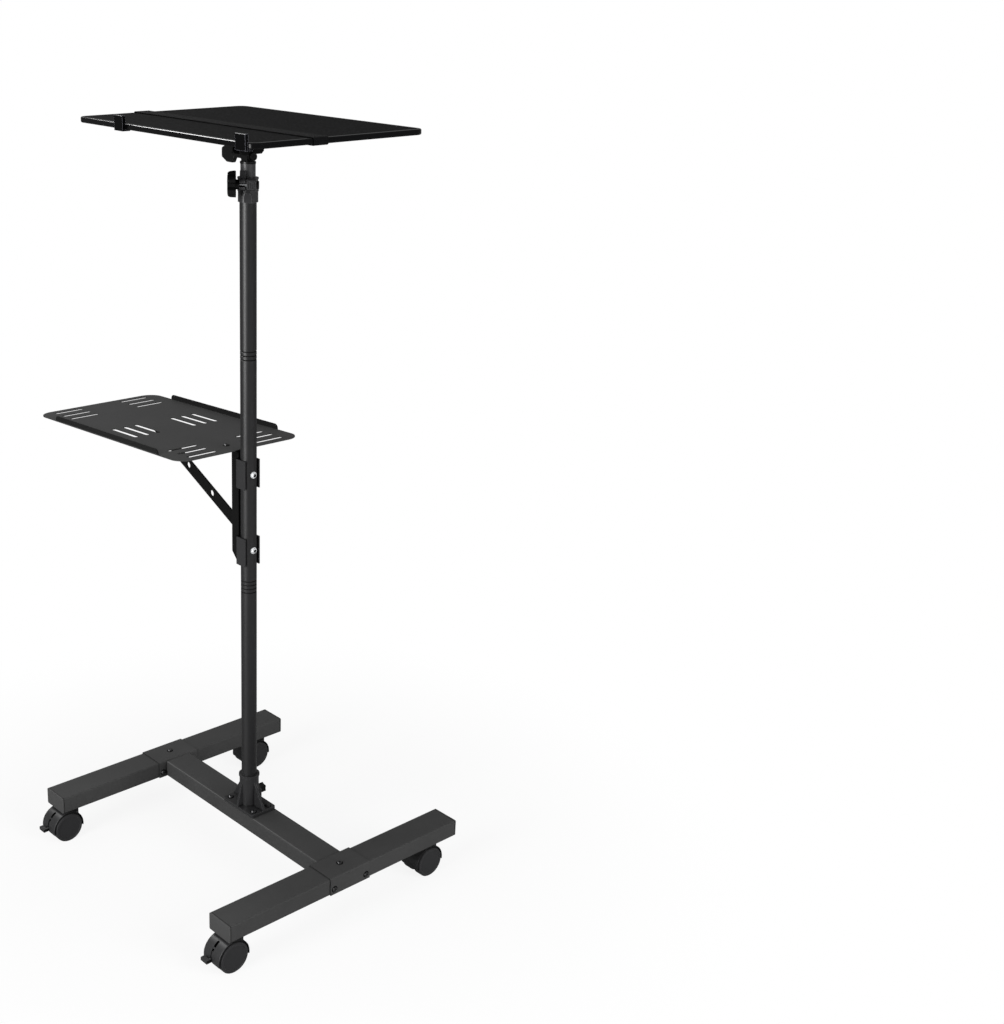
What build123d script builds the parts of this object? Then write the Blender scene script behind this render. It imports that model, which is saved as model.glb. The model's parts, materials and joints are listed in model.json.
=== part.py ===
from build123d import *
import os
from math import cos, radians, sin, sqrt, tan

os.makedirs("parts", exist_ok=True)

# A rolling projector stand: an H-shaped base on four twin-wheel casters, a three-piece post with a sliding
# mast, a tilting tray with a strap, and a small shelf on a braced bracket.
# Millimetres. X runs along the feet, Y along the cross beam, Z up. The post stands on x = 0, y = 0, the floor
# is z = 0. Left is -X, right is +X, near is -Y and far is +Y.

# Base: feet, beam, saddles and end caps
foot_length = 460.0
foot_width = 50.0
foot_height = 28.0
foot_wall = 1.5
foot_corner = 2.5
foot_spacing = 464.0
cap_flange = 2.0
cap_plug = 9.0
cap_clearance = 0.2
cap_round = 0.7
saddle_length = 80.0
saddle_sheet = 1.5
saddle_bend = 1.0

# Post socket
socket_plate_x = 50.0
socket_plate_y = 80.0
socket_plate_z = 5.0
socket_corner = 5.0
socket_height = 59.0
socket_wall = 3.0
socket_rim_wall = 4.2
socket_rim_height = 3.5
socket_floor = 3.0
rib_thickness = 4.0
rib_drop = 9.0
rib_toe = 6.0
socket_bolt_height = 22.0
socket_bolt_diameter = 6.0
socket_boss_width = 14.0
socket_boss_reach = 4.5
socket_knob_core = 6.4
socket_knob_lobe = 2.3
socket_knob_lobe_centre = 5.8
socket_knob_length = 9.0

# Post and mast
post_diameter = 25.0
post_wall = 1.2
fit_clearance = 0.3
lower_tube_length = 364.0
middle_tube_length = 371.0
upper_tube_length = 272.0
spigot_length = 30.0
spigot_wall = 1.2
groove_depth = 0.5
groove_width = 2.0
groove_pitch = 6.3
low_groove_count = 4
high_groove_count = 3
low_groove_rise = 17.0
high_groove_rise = 20.0
mast_diameter = 22.0
mast_wall = 1.2
mast_length = 233.0
mast_show = 34.0

# Height collar with its split clamp. The lugs face lug_angle, and the slit lies to the knob's side of their
# middle.
collar_grip = 20.0
collar_rise = 15.0
collar_wall = 1.9
collar_rim = 0.7
collar_rim_height = 2.5
collar_split_height = 18.0
lug_angle = 231.0
lug_reach = 31.0
lug_height = 16.0
lug_round = 4.0
lug_slit = 2.0
slit_offset = 2.0
knob_lug = 8.0
plain_lug = 13.5
lug_rib_count = 4
lug_rib_pitch = 2.7
lug_rib_groove = 1.1
lug_rib_depth = 0.8
lug_rib_margin = 2.5
clamp_bolt_reach = 24.0
horn_rise = 10.5
horn_thickness = 8.0
horn_inner = 13.0
horn_tip = 15.5
horn_foot = 25.0
arch_width = 11.0
arch_height = 14.0
arch_reach = 1.8
bolt_diameter = 6.0
bolt_running = 0.05
bolt_head_diameter = 11.0
bolt_head_length = 4.0

# Clamp knob with finger lobes
knob_lobe_count = 5
knob_core_radius = 14.0
knob_lobe_radius = 6.1
knob_lobe_centre = 13.4
knob_thickness = 11.5
knob_dome = 4.5
knob_draft = 1.0
knob_edge = 0.8
knob_eye = 8.0
knob_hub_diameter = 14.0
knob_hub_length = 5.2
knob_clearance = 0.3

# Tilt head: tongue on the mast, two-eared bracket under the tray, wing knob
head_cap_height = 3.0
head_cap_overhang = 0.6
head_spigot = 10.0
tongue_rise = 7.5
tongue_width = 14.0
tongue_radius = 7.0
ear_sheet = 3.0
ear_clearance = 0.4
ear_radius = 6.8
skirt_width = 42.0
skirt_rise = 3.0
skirt_chamfer = 4.0
bracket_length_x = 48.0
bracket_length_y = 70.0
bracket_plate = 3.0
bracket_corner = 6.0
tilt_hub_diameter = 10.0
tilt_hub_length = 18.0
wing_length = 31.0
wing_lean = 5.0
wing_flat = 14.0
wing_span = 25.6
wing_end = 13.0
wing_thickness = 7.0
wing_corner = 3.0
wing_round = 1.5

# Tray, mat, stops and strap
tray_x = 300.0
tray_y = 420.0
tray_thickness = 8.0
tray_rise = 38.5
tray_lean = 1.5
tray_corner = 15.5
tray_edge_round = 2.0
tray_rim_width = 6.0
mat_recess = 1.6
mat_thickness = 1.2
mat_clearance = 0.3
stop_width = 21.5
stop_height = 11.0
stop_lip = 2.0
stop_outer = 4.0
stop_grip = 8.0
stop_fence = 1.0
stop_clearance = 0.2
stop_round = 1.0
stop_far_y = 92.5
stop_near_y = -189.5
strap_width = 25.0
strap_thickness = 1.5
strap_clearance = 0.3
strap_gap = 2.5

# Shelf, its bracket and brace
shelf_top = 700.0
shelf_x = 230.0
shelf_y = 420.0
shelf_sheet = 1.5
shelf_corner = 25.0
shelf_droop = 3.0
shelf_gap = 1.5
lip_height = 8.5
lip_length = 300.0
lip_round = 7.0
slot_length = 54.0
slot_width = 8.0
slot_pitch = 25.0
slot_count = 3
slot_group_x = 64.0
slot_near_row = 18.5
slot_far_row = 16.0
slot_mid_x = 56.0
slot_mid_length = 72.0
slot_mid_pitch = 21.0
bracket_sheet = 2.0
bracket_height = 185.0
channel_width = 20.0
bracket_depth = 17.0
bracket_tab = 46.0
bracket_tab_width = 28.0
bracket_foot_rise = 16.0
ear_height = 46.0
ear_pitch = 126.0
ear_wrap = 9.0
ear_bend = 1.5
brace_width = 20.0
brace_sheet = 3.0
brace_foot_rise = 52.5
brace_reach = 244.0
brace_hole = 10.5
brace_hole_pitch = 70.5
brace_hole_count = 3
brace_first_hole = 89.5

# Casters
caster_inset = 32.0
caster_height = 58.0
caster_trail = 19.0
wheel_diameter = 50.0
wheel_half_span = 20.5
wheel_inner = 5.0
wheel_edge = 1.6
wheel_dish = 0.8
wheel_dish_rim = 4.0
axle_diameter = 6.0
axle_running = 0.05
wheel_gap = 1.2
hood_wall = 2.0
hood_half_width = 19.5
hood_round = 1.6
hood_front_angle = -8.0
hood_back_angle = 192.0
window_width = 4.6
window_radius = 22.0
window_low_angle = 118.0
window_high_angle = 140.0
web_half = 4.0
web_hub_radius = 9.0
stem_diameter = 10.0
stem_running = 0.05
stem_rise = 20.0
boss_diameter = 19.0
boss_drop = 28.0
washer_diameter = 15.0
washer_thickness = 3.0

# Brake lever in the hood's slot
brake_slot = 4.4
brake_half = 1.8
brake_pocket_radius = 15.5
brake_top_angle = 146.0
brake_bottom_angle = 200.0
brake_pivot_angle = 159.0
brake_pivot_radius = 22.5
brake_pin_diameter = 3.0
brake_pin_running = 0.05
brake_inner = 20.0
brake_end_angle = 188.0
brake_tab_angle = 182.0
brake_tab_start = 31.5
brake_tab_end = 37.5
brake_tab_reach = 13.0
brake_tab_thickness = 5.5

# How far a cutting tool runs past the face that it cuts
overrun = 1.0

# Worked out from the sizes above
post_radius = post_diameter / 2
post_bore = post_radius - post_wall
mast_radius = mast_diameter / 2
mast_bore = mast_radius - mast_wall
foot_bottom = caster_height
foot_top = foot_bottom + foot_height
foot_middle = foot_bottom + foot_height / 2
socket_top = foot_top + socket_height
socket_seat = foot_top + socket_floor
seam_low = socket_seat + lower_tube_length
seam_high = seam_low + middle_tube_length
post_top = seam_high + upper_tube_length
mast_top = post_top + mast_show
mast_bottom = mast_top - mast_length
tilt_height = mast_top + head_cap_height + tongue_rise
tray_bottom = tilt_height + tray_rise
tray_top = tray_bottom + tray_thickness
strap_x = -(bracket_length_x / 2 + strap_gap + strap_width / 2)
wheel_radius = wheel_diameter / 2
hood_bore = wheel_radius + wheel_gap
hood_radius = hood_bore + hood_wall
caster_x = foot_length / 2 - caster_inset
caster_y = foot_spacing / 2
bracket_web = post_radius + fit_clearance
bracket_back = bracket_web + bracket_sheet
bracket_half = bracket_web + bracket_sheet
bracket_bottom = shelf_top - bracket_height
brace_foot_z = bracket_bottom + brace_foot_rise
shelf_start = bracket_web + shelf_gap
shelf_middle = shelf_y / 2

# Working planes. Each upright one has Z as its own second direction.
upright_x = Plane(origin=(0, 0, 0), x_dir=(1, 0, 0), z_dir=(0, -1, 0))
upright_y = Plane(origin=(0, 0, 0), x_dir=(0, 1, 0), z_dir=(1, 0, 0))
shelf_plane = Plane(
    origin=(0, shelf_start, shelf_top),
    x_dir=(1, 0, 0),
    z_dir=(0, sin(radians(shelf_droop)), cos(radians(shelf_droop))),
)


def save(piece, name):
    """Label a finished piece and write it as its own file."""
    piece.label = name
    export_step(piece, f"parts/{name}.step")


def polar(radius, angle):
    """A point on a circle, the angle in degrees."""
    return (radius * cos(radians(angle)), radius * sin(radians(angle)))


def leaned(piece):
    """A piece of the tray, turned about the tilt bolt so that the tray's left edge hangs low."""
    return piece.rotate(Axis((0, 0, tilt_height), (0, -1, 0)), tray_lean)


# Feet: rectangular tubes along X, with a hole under each end for a caster stem
def make_foot(y):
    with BuildPart() as foot:
        tube_length = foot_length - 2 * cap_flange
        with BuildSketch(Plane(origin=(0, y, foot_middle), x_dir=(0, 1, 0), z_dir=(1, 0, 0))):
            RectangleRounded(foot_width, foot_height, foot_corner)
            RectangleRounded(
                foot_width - 2 * foot_wall,
                foot_height - 2 * foot_wall,
                foot_corner - foot_wall,
                mode=Mode.SUBTRACT,
            )
        extrude(amount=tube_length / 2, both=True)
        with BuildSketch(Plane.XY.offset(foot_bottom)):
            with Locations((-caster_x, y), (caster_x, y)):
                Circle(stem_diameter / 2 + stem_running)
        extrude(amount=foot_wall, mode=Mode.SUBTRACT)
    return foot.part


# End caps: a flange the size of the tube and a plug that fills its mouth
def make_cap(y, side):
    outward = Plane(
        origin=(side * (foot_length / 2 - cap_flange), y, foot_middle),
        x_dir=(0, side, 0),
        z_dir=(side, 0, 0),
    )
    with BuildPart() as cap:
        with BuildSketch(outward):
            RectangleRounded(foot_width, foot_height, foot_corner)
        extrude(amount=cap_flange)
        outer_edges = cap.faces().sort_by(Axis.X)[-1 if side > 0 else 0].edges()
        fillet(outer_edges, cap_round)
        inset = 2 * (foot_wall + cap_clearance)
        with BuildSketch(outward):
            RectangleRounded(foot_width - inset, foot_height - inset, foot_corner - foot_wall)
        extrude(amount=-cap_plug)
    return cap.part


# Saddles: bent sheet over each foot, with a flange down both sides
def make_saddle(y):
    with BuildPart() as saddle:
        with BuildSketch(Plane(origin=(0, y, foot_bottom), x_dir=(0, 1, 0), z_dir=(1, 0, 0))):
            wide = foot_width + 2 * saddle_sheet
            tall = foot_height + saddle_sheet
            with Locations((0, tall / 2)):
                Rectangle(wide, tall)
            with Locations((0, foot_height / 2)):
                Rectangle(foot_width, foot_height, mode=Mode.SUBTRACT)
        extrude(amount=saddle_length / 2, both=True)
        bends = saddle.edges().filter_by(Axis.X).group_by(Axis.Z)
        fillet(bends[-1], saddle_bend + saddle_sheet)
        fillet(bends[-2], saddle_bend)
    return saddle.part


for place, way in (("near", -1), ("far", 1)):
    foot_y = way * foot_spacing / 2
    save(make_foot(foot_y), f"{place}_foot")
    save(make_saddle(foot_y), f"{place}_saddle")
    for end, side in (("left", -1), ("right", 1)):
        save(make_cap(foot_y, side), f"{place}_{end}_cap")

# Cross beam: the same tube along Y, its ends against the saddles
with BuildPart() as cross_beam:
    beam_length = foot_spacing - foot_width - 2 * saddle_sheet
    with BuildSketch(Plane(origin=(0, 0, foot_middle), x_dir=(1, 0, 0), z_dir=(0, -1, 0))):
        RectangleRounded(foot_width, foot_height, foot_corner)
        RectangleRounded(
            foot_width - 2 * foot_wall,
            foot_height - 2 * foot_wall,
            foot_corner - foot_wall,
            mode=Mode.SUBTRACT,
        )
    extrude(amount=beam_length / 2, both=True)
save(cross_beam.part, "cross_beam")

# Post socket: a plate screwed to the beam, a sleeve for the post, three gussets and a pad for the bolt
sleeve_bore = post_radius + fit_clearance
sleeve_radius = sleeve_bore + socket_wall
bolt_z = foot_top + socket_bolt_height
bolt_face = sleeve_radius + socket_boss_reach
toward_bolt = Plane(origin=(0, 0, bolt_z), x_dir=(0, 1, 0), z_dir=(1, 0, 0))
with BuildPart() as post_socket:
    with BuildSketch(Plane.XY.offset(foot_top)):
        RectangleRounded(socket_plate_x, socket_plate_y, socket_corner)
    extrude(amount=socket_plate_z)
    with BuildSketch(Plane.XY.offset(foot_top)):
        Circle(sleeve_radius)
    extrude(amount=socket_height)
    with BuildSketch(Plane.XY.offset(socket_top - socket_rim_height)):
        Circle(sleeve_bore + socket_rim_wall)
    extrude(amount=socket_rim_height)
    rib_top = socket_top - socket_rim_height - rib_drop
    for plane, toe in (
        (upright_x, -socket_plate_x / 2),
        (upright_y, -socket_plate_y / 2),
        (upright_y, socket_plate_y / 2),
    ):
        with BuildSketch(plane):
            with BuildLine():
                shoulder = sleeve_radius if toe > 0 else -sleeve_radius
                Polyline(
                    (0, foot_top),
                    (toe, foot_top),
                    (toe, foot_top + rib_toe),
                    (shoulder, rib_top),
                    (0, rib_top),
                    close=True,
                )
            make_face()
        extrude(amount=rib_thickness / 2, both=True)
    with BuildSketch(toward_bolt):
        Circle(socket_boss_width / 2)
        with Locations((0, -socket_bolt_height / 2)):
            Rectangle(socket_boss_width, socket_bolt_height)
    extrude(amount=bolt_face)
    with BuildSketch(Plane.XY.offset(socket_seat)):
        Circle(sleeve_bore)
    extrude(amount=socket_height, mode=Mode.SUBTRACT)
    with BuildSketch(toward_bolt):
        Circle(socket_bolt_diameter / 2 + fit_clearance)
    extrude(amount=bolt_face, mode=Mode.SUBTRACT)
save(post_socket.part, "post_socket")

# Socket bolt: a short screw with a lobed head that grips the post through the pad
with BuildPart() as socket_bolt:
    with BuildSketch(toward_bolt.offset(sleeve_bore)):
        Circle(socket_bolt_diameter / 2)
    extrude(amount=bolt_face - sleeve_bore)
    with BuildSketch(toward_bolt.offset(bolt_face)):
        Circle(socket_knob_core)
        with PolarLocations(socket_knob_lobe_centre, knob_lobe_count):
            Circle(socket_knob_lobe)
    extrude(amount=socket_knob_length)
save(socket_bolt.part, "socket_bolt")


# Post tubes: each stands on the one below, over a narrower spigot, and carries rolled rings above its foot
def make_tube(bottom, top, spigot, rings, ring_rise):
    with BuildPart() as tube:
        with BuildSketch(Plane.XY.offset(bottom)):
            Circle(post_radius)
            Circle(post_bore, mode=Mode.SUBTRACT)
        extrude(amount=top - bottom)
        for ring in range(rings):
            centre = bottom + ring_rise + ring * groove_pitch
            with BuildSketch(Plane(origin=(0, 0, centre), x_dir=(1, 0, 0), z_dir=(0, -1, 0))):
                with BuildLine():
                    low = (post_radius, -groove_width / 2)
                    high = (post_radius, groove_width / 2)
                    ThreePointArc(low, (post_radius - groove_depth, 0), high)
                    Line(high, low)
                make_face()
            revolve(axis=Axis.Z, mode=Mode.SUBTRACT)
        if spigot:
            with BuildSketch(Plane.XY.offset(top - spigot_length)):
                Circle(post_bore)
                Circle(post_bore - spigot_wall, mode=Mode.SUBTRACT)
            extrude(amount=spigot_length)
            with BuildSketch(Plane.XY.offset(top)):
                Circle(post_bore - fit_clearance)
                Circle(post_bore - spigot_wall, mode=Mode.SUBTRACT)
            extrude(amount=spigot_length)
    return tube.part


save(make_tube(socket_seat, seam_low, True, 0, 0), "lower_tube")
save(make_tube(seam_low, seam_high, True, low_groove_count, low_groove_rise), "middle_tube")
save(make_tube(seam_high, post_top, False, high_groove_count, high_groove_rise), "upper_tube")

# Mast: the thinner tube that slides in the post
with BuildPart() as inner_tube:
    with BuildSketch(Plane.XY.offset(mast_bottom)):
        Circle(mast_radius)
        Circle(mast_bore, mode=Mode.SUBTRACT)
    extrude(amount=mast_length)
save(inner_tube.part, "inner_tube")

# Height collar: a sleeve on the post's top, split above and pinched by a bolt through two lugs
collar_bottom = post_top - collar_grip
collar_height = collar_grip + collar_rise
collar_top = collar_bottom + collar_height
collar_radius = post_radius + fit_clearance + collar_wall
split_bottom = collar_bottom + collar_split_height
lug_middle = collar_top - lug_height / 2
plain_face = slit_offset - lug_slit / 2 - plain_lug
slit_face = slit_offset + lug_slit / 2
knob_side_face = slit_face + knob_lug
lug_plane = Plane(origin=(0, 0, 0), x_dir=(*polar(1, lug_angle), 0), z_dir=(0, 0, 1))
lug_side = Plane(origin=(0, 0, lug_middle), x_dir=lug_plane.x_dir, z_dir=-lug_plane.y_dir)
lug_front = Plane(origin=(0, 0, lug_middle), x_dir=lug_plane.y_dir, z_dir=lug_plane.x_dir)
with BuildPart() as height_collar:
    with BuildSketch(Plane.XY.offset(collar_bottom)):
        Circle(collar_radius)
    extrude(amount=collar_height)
    for level in (split_bottom - collar_rim_height, collar_top - collar_rim_height):
        with BuildSketch(Plane.XY.offset(level)):
            Circle(collar_radius + collar_rim)
        extrude(amount=collar_rim_height)
    with BuildSketch(lug_side.offset(plain_face)):
        with Locations((lug_reach / 2, 0)):
            Rectangle(lug_reach, lug_height)
    extrude(amount=knob_side_face - plain_face)
    lug_out = Axis(origin=(0, 0, 0), direction=lug_plane.x_dir)
    across_lugs = Axis(origin=(0, 0, 0), direction=lug_side.z_dir)
    lug_corners = height_collar.edges().filter_by(across_lugs).sort_by(lug_out)[-2:]
    fillet(lug_corners, lug_round)
    with BuildSketch(lug_side.offset(slit_face)):
        with BuildLine():
            horn_root = lug_height / 2 - lug_round
            Polyline(
                (horn_inner, horn_root),
                (horn_inner, lug_height / 2 + horn_rise),
                (horn_tip, lug_height / 2 + horn_rise),
                (horn_foot, lug_height / 2),
                (horn_foot, horn_root),
                close=True,
            )
        make_face()
    extrude(amount=horn_thickness)
    with BuildSketch(lug_front.offset(lug_reach)):
        plain_middle = (slit_offset - lug_slit / 2 + plain_face) / 2
        with Locations((-plain_middle, 0)):
            with GridLocations(lug_rib_pitch, 0, lug_rib_count, 1):
                SlotOverall(lug_height - 2 * lug_rib_margin, lug_rib_groove, rotation=90)
    extrude(amount=-lug_rib_depth, mode=Mode.SUBTRACT)
    with BuildSketch(lug_front.offset(post_radius)):
        arch_foot = collar_bottom - lug_middle
        arch_spring = arch_foot + arch_height - arch_width / 2
        with Locations((0, (arch_foot + arch_spring) / 2)):
            Rectangle(arch_width, arch_spring - arch_foot)
        with Locations((0, arch_spring)):
            Circle(arch_width / 2)
    extrude(amount=collar_radius + arch_reach - post_radius)
    with BuildSketch(Plane.XY.offset(collar_bottom)):
        Circle(post_radius + fit_clearance)
    extrude(amount=collar_grip, mode=Mode.SUBTRACT)
    with BuildSketch(Plane.XY.offset(post_top)):
        Circle(mast_radius + fit_clearance)
    extrude(amount=collar_rise, mode=Mode.SUBTRACT)
    with BuildSketch(lug_plane.offset(split_bottom)):
        with Locations((lug_reach / 2, -slit_offset)):
            Rectangle(lug_reach + overrun, lug_slit)
    extrude(amount=collar_height, mode=Mode.SUBTRACT)
    with BuildSketch(lug_side.offset(plain_face)):
        with Locations((clamp_bolt_reach, 0)):
            Circle(bolt_diameter / 2 + bolt_running)
    extrude(amount=knob_side_face - plain_face, mode=Mode.SUBTRACT)
    with BuildSketch(lug_side.offset(slit_face)):
        with Locations(((clamp_bolt_reach + lug_reach) / 2, 0)):
            Rectangle(lug_reach - clamp_bolt_reach, bolt_diameter + 2 * bolt_running)
    extrude(amount=knob_lug, mode=Mode.SUBTRACT)
save(height_collar.part, "height_collar")

# Clamp knob: a domed grip with finger lobes, a hub, and the bolt through both lugs with a round head
knob_centre = lug_side.from_local_coords((clamp_bolt_reach, 0, 0))
knob_face = Plane(origin=knob_centre, x_dir=lug_side.x_dir, z_dir=lug_side.z_dir)
knob_section = Plane(origin=knob_centre, x_dir=lug_side.z_dir, z_dir=-lug_side.x_dir)
hub_start = knob_side_face + knob_clearance
grip_start = hub_start + knob_hub_length
grip_end = grip_start + knob_thickness
grip_radius = knob_lobe_centre + knob_lobe_radius
with BuildPart() as collar_knob:
    with BuildSketch(knob_face.offset(grip_start)):
        Circle(knob_core_radius)
        with PolarLocations(knob_lobe_centre, knob_lobe_count, start_angle=180 / knob_lobe_count):
            Circle(knob_lobe_radius)
    extrude(amount=knob_thickness)
    with BuildSketch(knob_section):
        with BuildLine():
            shoulder = (grip_end - knob_dome, grip_radius - knob_draft)
            Polyline(
                (grip_end, knob_eye),
                (grip_end, 0),
                (grip_start, 0),
                (grip_start, grip_radius - knob_edge),
                (grip_start + knob_edge, grip_radius),
                shoulder,
            )
            TangentArc(shoulder, (grip_end, knob_eye), tangent=(1, -knob_draft / knob_thickness))
        make_face()
    revolve(axis=Axis(origin=knob_centre, direction=lug_side.z_dir), mode=Mode.INTERSECT)
    with BuildSketch(knob_face.offset(hub_start)):
        Circle(knob_hub_diameter / 2)
    extrude(amount=knob_hub_length)
    with BuildSketch(knob_face.offset(plain_face)):
        Circle(bolt_diameter / 2)
    extrude(amount=hub_start - plain_face)
    with BuildSketch(knob_face.offset(plain_face)):
        Circle(bolt_head_diameter / 2)
    extrude(amount=-bolt_head_length)
save(collar_knob.part, "collar_knob")

# Pole head: a cap on the mast with a rounded tongue that the tray's bracket straddles
with BuildPart() as pole_head:
    with BuildSketch(Plane.XY.offset(mast_top - head_spigot)):
        Circle(mast_bore - fit_clearance)
    extrude(amount=head_spigot)
    with BuildSketch(Plane.XY.offset(mast_top)):
        Circle(mast_radius + head_cap_overhang)
    extrude(amount=head_cap_height)
    with BuildSketch(upright_x):
        with Locations((0, tilt_height)):
            Circle(tongue_radius)
        with Locations((0, (mast_top + head_cap_height + tilt_height) / 2)):
            Rectangle(2 * tongue_radius, tilt_height - mast_top - head_cap_height)
        with Locations((0, tilt_height)):
            Circle(bolt_diameter / 2 + bolt_running, mode=Mode.SUBTRACT)
    extrude(amount=tongue_width / 2, both=True)
save(pole_head.part, "pole_head")

# Tilt bracket: a plate under the tray and two ears that pivot on the tongue
ear_inner = tongue_width / 2 + ear_clearance
with BuildPart() as tilt_bracket:
    with BuildSketch(Plane.XY.offset(tray_bottom)):
        RectangleRounded(bracket_length_x, bracket_length_y, bracket_corner)
    extrude(amount=-bracket_plate)
    for side in (-1, 1):
        with BuildSketch(upright_x.offset(side * ear_inner)):
            with BuildLine():
                root = tray_bottom - bracket_plate
                skirt_bottom = tilt_height + skirt_rise
                skirt_half = skirt_width / 2
                left_side = (-ear_radius, tilt_height)
                right_side = (ear_radius, tilt_height)
                Polyline(
                    left_side,
                    (-ear_radius, skirt_bottom),
                    (skirt_chamfer - skirt_half, skirt_bottom),
                    (-skirt_half, skirt_bottom + skirt_chamfer),
                    (-skirt_half, root),
                    (skirt_half, root),
                    (skirt_half, skirt_bottom + skirt_chamfer),
                    (skirt_half - skirt_chamfer, skirt_bottom),
                    (ear_radius, skirt_bottom),
                    right_side,
                )
                ThreePointArc(right_side, (0, tilt_height - ear_radius), left_side)
            make_face()
            with Locations((0, tilt_height)):
                Circle(bolt_diameter / 2 + bolt_running, mode=Mode.SUBTRACT)
        extrude(amount=side * ear_sheet)
save(leaned(tilt_bracket.part), "tilt_bracket")

# Tilt knob: a rounded wing grip on a hub, with the pivot bolt through both ears and the tongue
ear_outer = ear_inner + ear_sheet
hub_end = ear_outer + tilt_hub_length
toward_wing = Plane(origin=(0, 0, tilt_height), x_dir=(-1, 0, 0), z_dir=(0, 1, 0))
with BuildPart() as tilt_knob:
    with BuildSketch(upright_y) as wing_face:
        with BuildLine():
            tip_start = hub_end + wing_lean
            tip_end = tip_start + wing_flat
            wing_tail = hub_end + wing_length
            upper = [
                (hub_end, tilt_height + tilt_hub_diameter / 2),
                (tip_start, tilt_height + wing_span / 2),
                (tip_end, tilt_height + wing_span / 2),
                (wing_tail, tilt_height + wing_end / 2),
            ]
            lower = [(along, 2 * tilt_height - up) for along, up in reversed(upper)]
            Polyline(*upper, *lower, close=True)
        make_face()
        fillet(wing_face.vertices().sort_by(Axis.X)[2:], wing_corner)
    extrude(amount=wing_thickness / 2, both=True)
    fillet(tilt_knob.edges(), wing_round)
    with BuildSketch(toward_wing.offset(ear_outer)):
        Circle(tilt_hub_diameter / 2)
    extrude(amount=tilt_hub_length + wing_lean)
    with BuildSketch(toward_wing.offset(-ear_outer)):
        Circle(bolt_head_diameter / 2)
    extrude(amount=-bolt_head_length)
    with BuildSketch(toward_wing.offset(-ear_outer)):
        Circle(bolt_diameter / 2)
    extrude(amount=2 * ear_outer)
save(tilt_knob.part, "tilt_knob")

# Tray: a flat panel with a raised rim round a recess for the mat
with BuildPart() as tray:
    with BuildSketch(Plane.XY.offset(tray_bottom)):
        RectangleRounded(tray_x, tray_y, tray_corner)
    extrude(amount=tray_thickness)
    fillet(tray.faces().sort_by(Axis.Z)[-1].edges(), tray_edge_round)
    fillet(tray.faces().sort_by(Axis.Z)[0].edges(), tray_edge_round)
    with BuildSketch(Plane.XY.offset(tray_top - mat_recess)):
        rims = 2 * tray_rim_width
        RectangleRounded(tray_x - rims, tray_y - rims, tray_corner - tray_rim_width)
    extrude(amount=mat_recess, mode=Mode.SUBTRACT)
save(leaned(tray.part), "tray")

# Mat: a thin grip sheet in the recess
with BuildPart() as tray_mat:
    with BuildSketch(Plane.XY.offset(tray_top - mat_recess)):
        inset = tray_rim_width + mat_clearance
        RectangleRounded(tray_x - 2 * inset, tray_y - 2 * inset, tray_corner - inset)
    extrude(amount=mat_thickness)
save(leaned(tray_mat.part), "tray_mat")


# Stops: clips that grip the tray's left rim and stand up as a fence
def make_stop(y):
    edge = -tray_x / 2
    floor = tray_bottom - stop_clearance
    roof = tray_top + stop_clearance
    outer = edge - stop_clearance - stop_outer
    with BuildPart() as stop:
        with BuildSketch(upright_x.offset(-y)):
            with BuildLine():
                Polyline(
                    (outer, floor - stop_lip),
                    (edge + stop_grip, floor - stop_lip),
                    (edge + stop_grip, floor),
                    (edge - stop_clearance, floor),
                    (edge - stop_clearance, roof),
                    (edge + stop_fence, roof),
                    (edge + stop_fence, tray_top + stop_height),
                    (outer, tray_top + stop_height),
                    close=True,
                )
            make_face()
        extrude(amount=stop_width / 2, both=True)
        fillet(stop.faces().sort_by(Axis.Z)[-1].edges().filter_by(Axis.Y), stop_round)
    return stop.part


save(leaned(make_stop(stop_far_y)), "far_stop")
save(leaned(make_stop(stop_near_y)), "near_stop")

# Strap: a flat band pulled snug round the tray
with BuildPart() as strap:
    with BuildSketch(upright_y.offset(strap_x)):
        snug = 2 * strap_clearance
        around = snug + 2 * strap_thickness
        with Locations((0, (tray_bottom + tray_top) / 2)):
            RectangleRounded(tray_y + around, tray_thickness + around, tray_edge_round + strap_thickness)
            RectangleRounded(tray_y + snug, tray_thickness + snug, tray_edge_round, mode=Mode.SUBTRACT)
    extrude(amount=strap_width / 2, both=True)
save(leaned(strap.part), "strap")

# Shelf: a sheet with turned-up lips along both sides and rows of slots
with BuildPart() as shelf:
    with BuildSketch(shelf_plane):
        with Locations((0, shelf_middle)):
            RectangleRounded(shelf_x, shelf_y, shelf_corner)
        near_row = slot_near_row + slot_pitch
        far_row = shelf_y - slot_far_row - slot_pitch
        for row in (near_row, far_row):
            for side in (-1, 1):
                with Locations((side * slot_group_x, row)):
                    with GridLocations(0, slot_pitch, 1, slot_count):
                        SlotOverall(slot_length, slot_width, mode=Mode.SUBTRACT)
        for side in (-1, 1):
            with Locations((side * slot_mid_x, shelf_middle)):
                with GridLocations(slot_mid_pitch, 0, slot_count, 1):
                    SlotOverall(slot_mid_length, slot_width, rotation=90, mode=Mode.SUBTRACT)
    extrude(amount=-shelf_sheet)
    for side in (-1, 1):
        lip_plane = Plane(origin=shelf_plane.from_local_coords((side * shelf_x / 2, shelf_middle, 0)),
                          x_dir=shelf_plane.y_dir, z_dir=shelf_plane.x_dir)
        with BuildSketch(lip_plane):
            with Locations((0, lip_height / 2)):
                lip_face = Rectangle(lip_length, lip_height)
            fillet(lip_face.vertices().sort_by(Axis.Y)[-2:], lip_round)
        extrude(amount=-side * shelf_sheet)
save(shelf.part, "shelf")


# Height of the shelf's underside over a point of the floor, on the post's middle plane
def shelf_under(y):
    return shelf_top - (y - shelf_start) * tan(radians(shelf_droop)) - shelf_sheet / cos(radians(shelf_droop))


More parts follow.
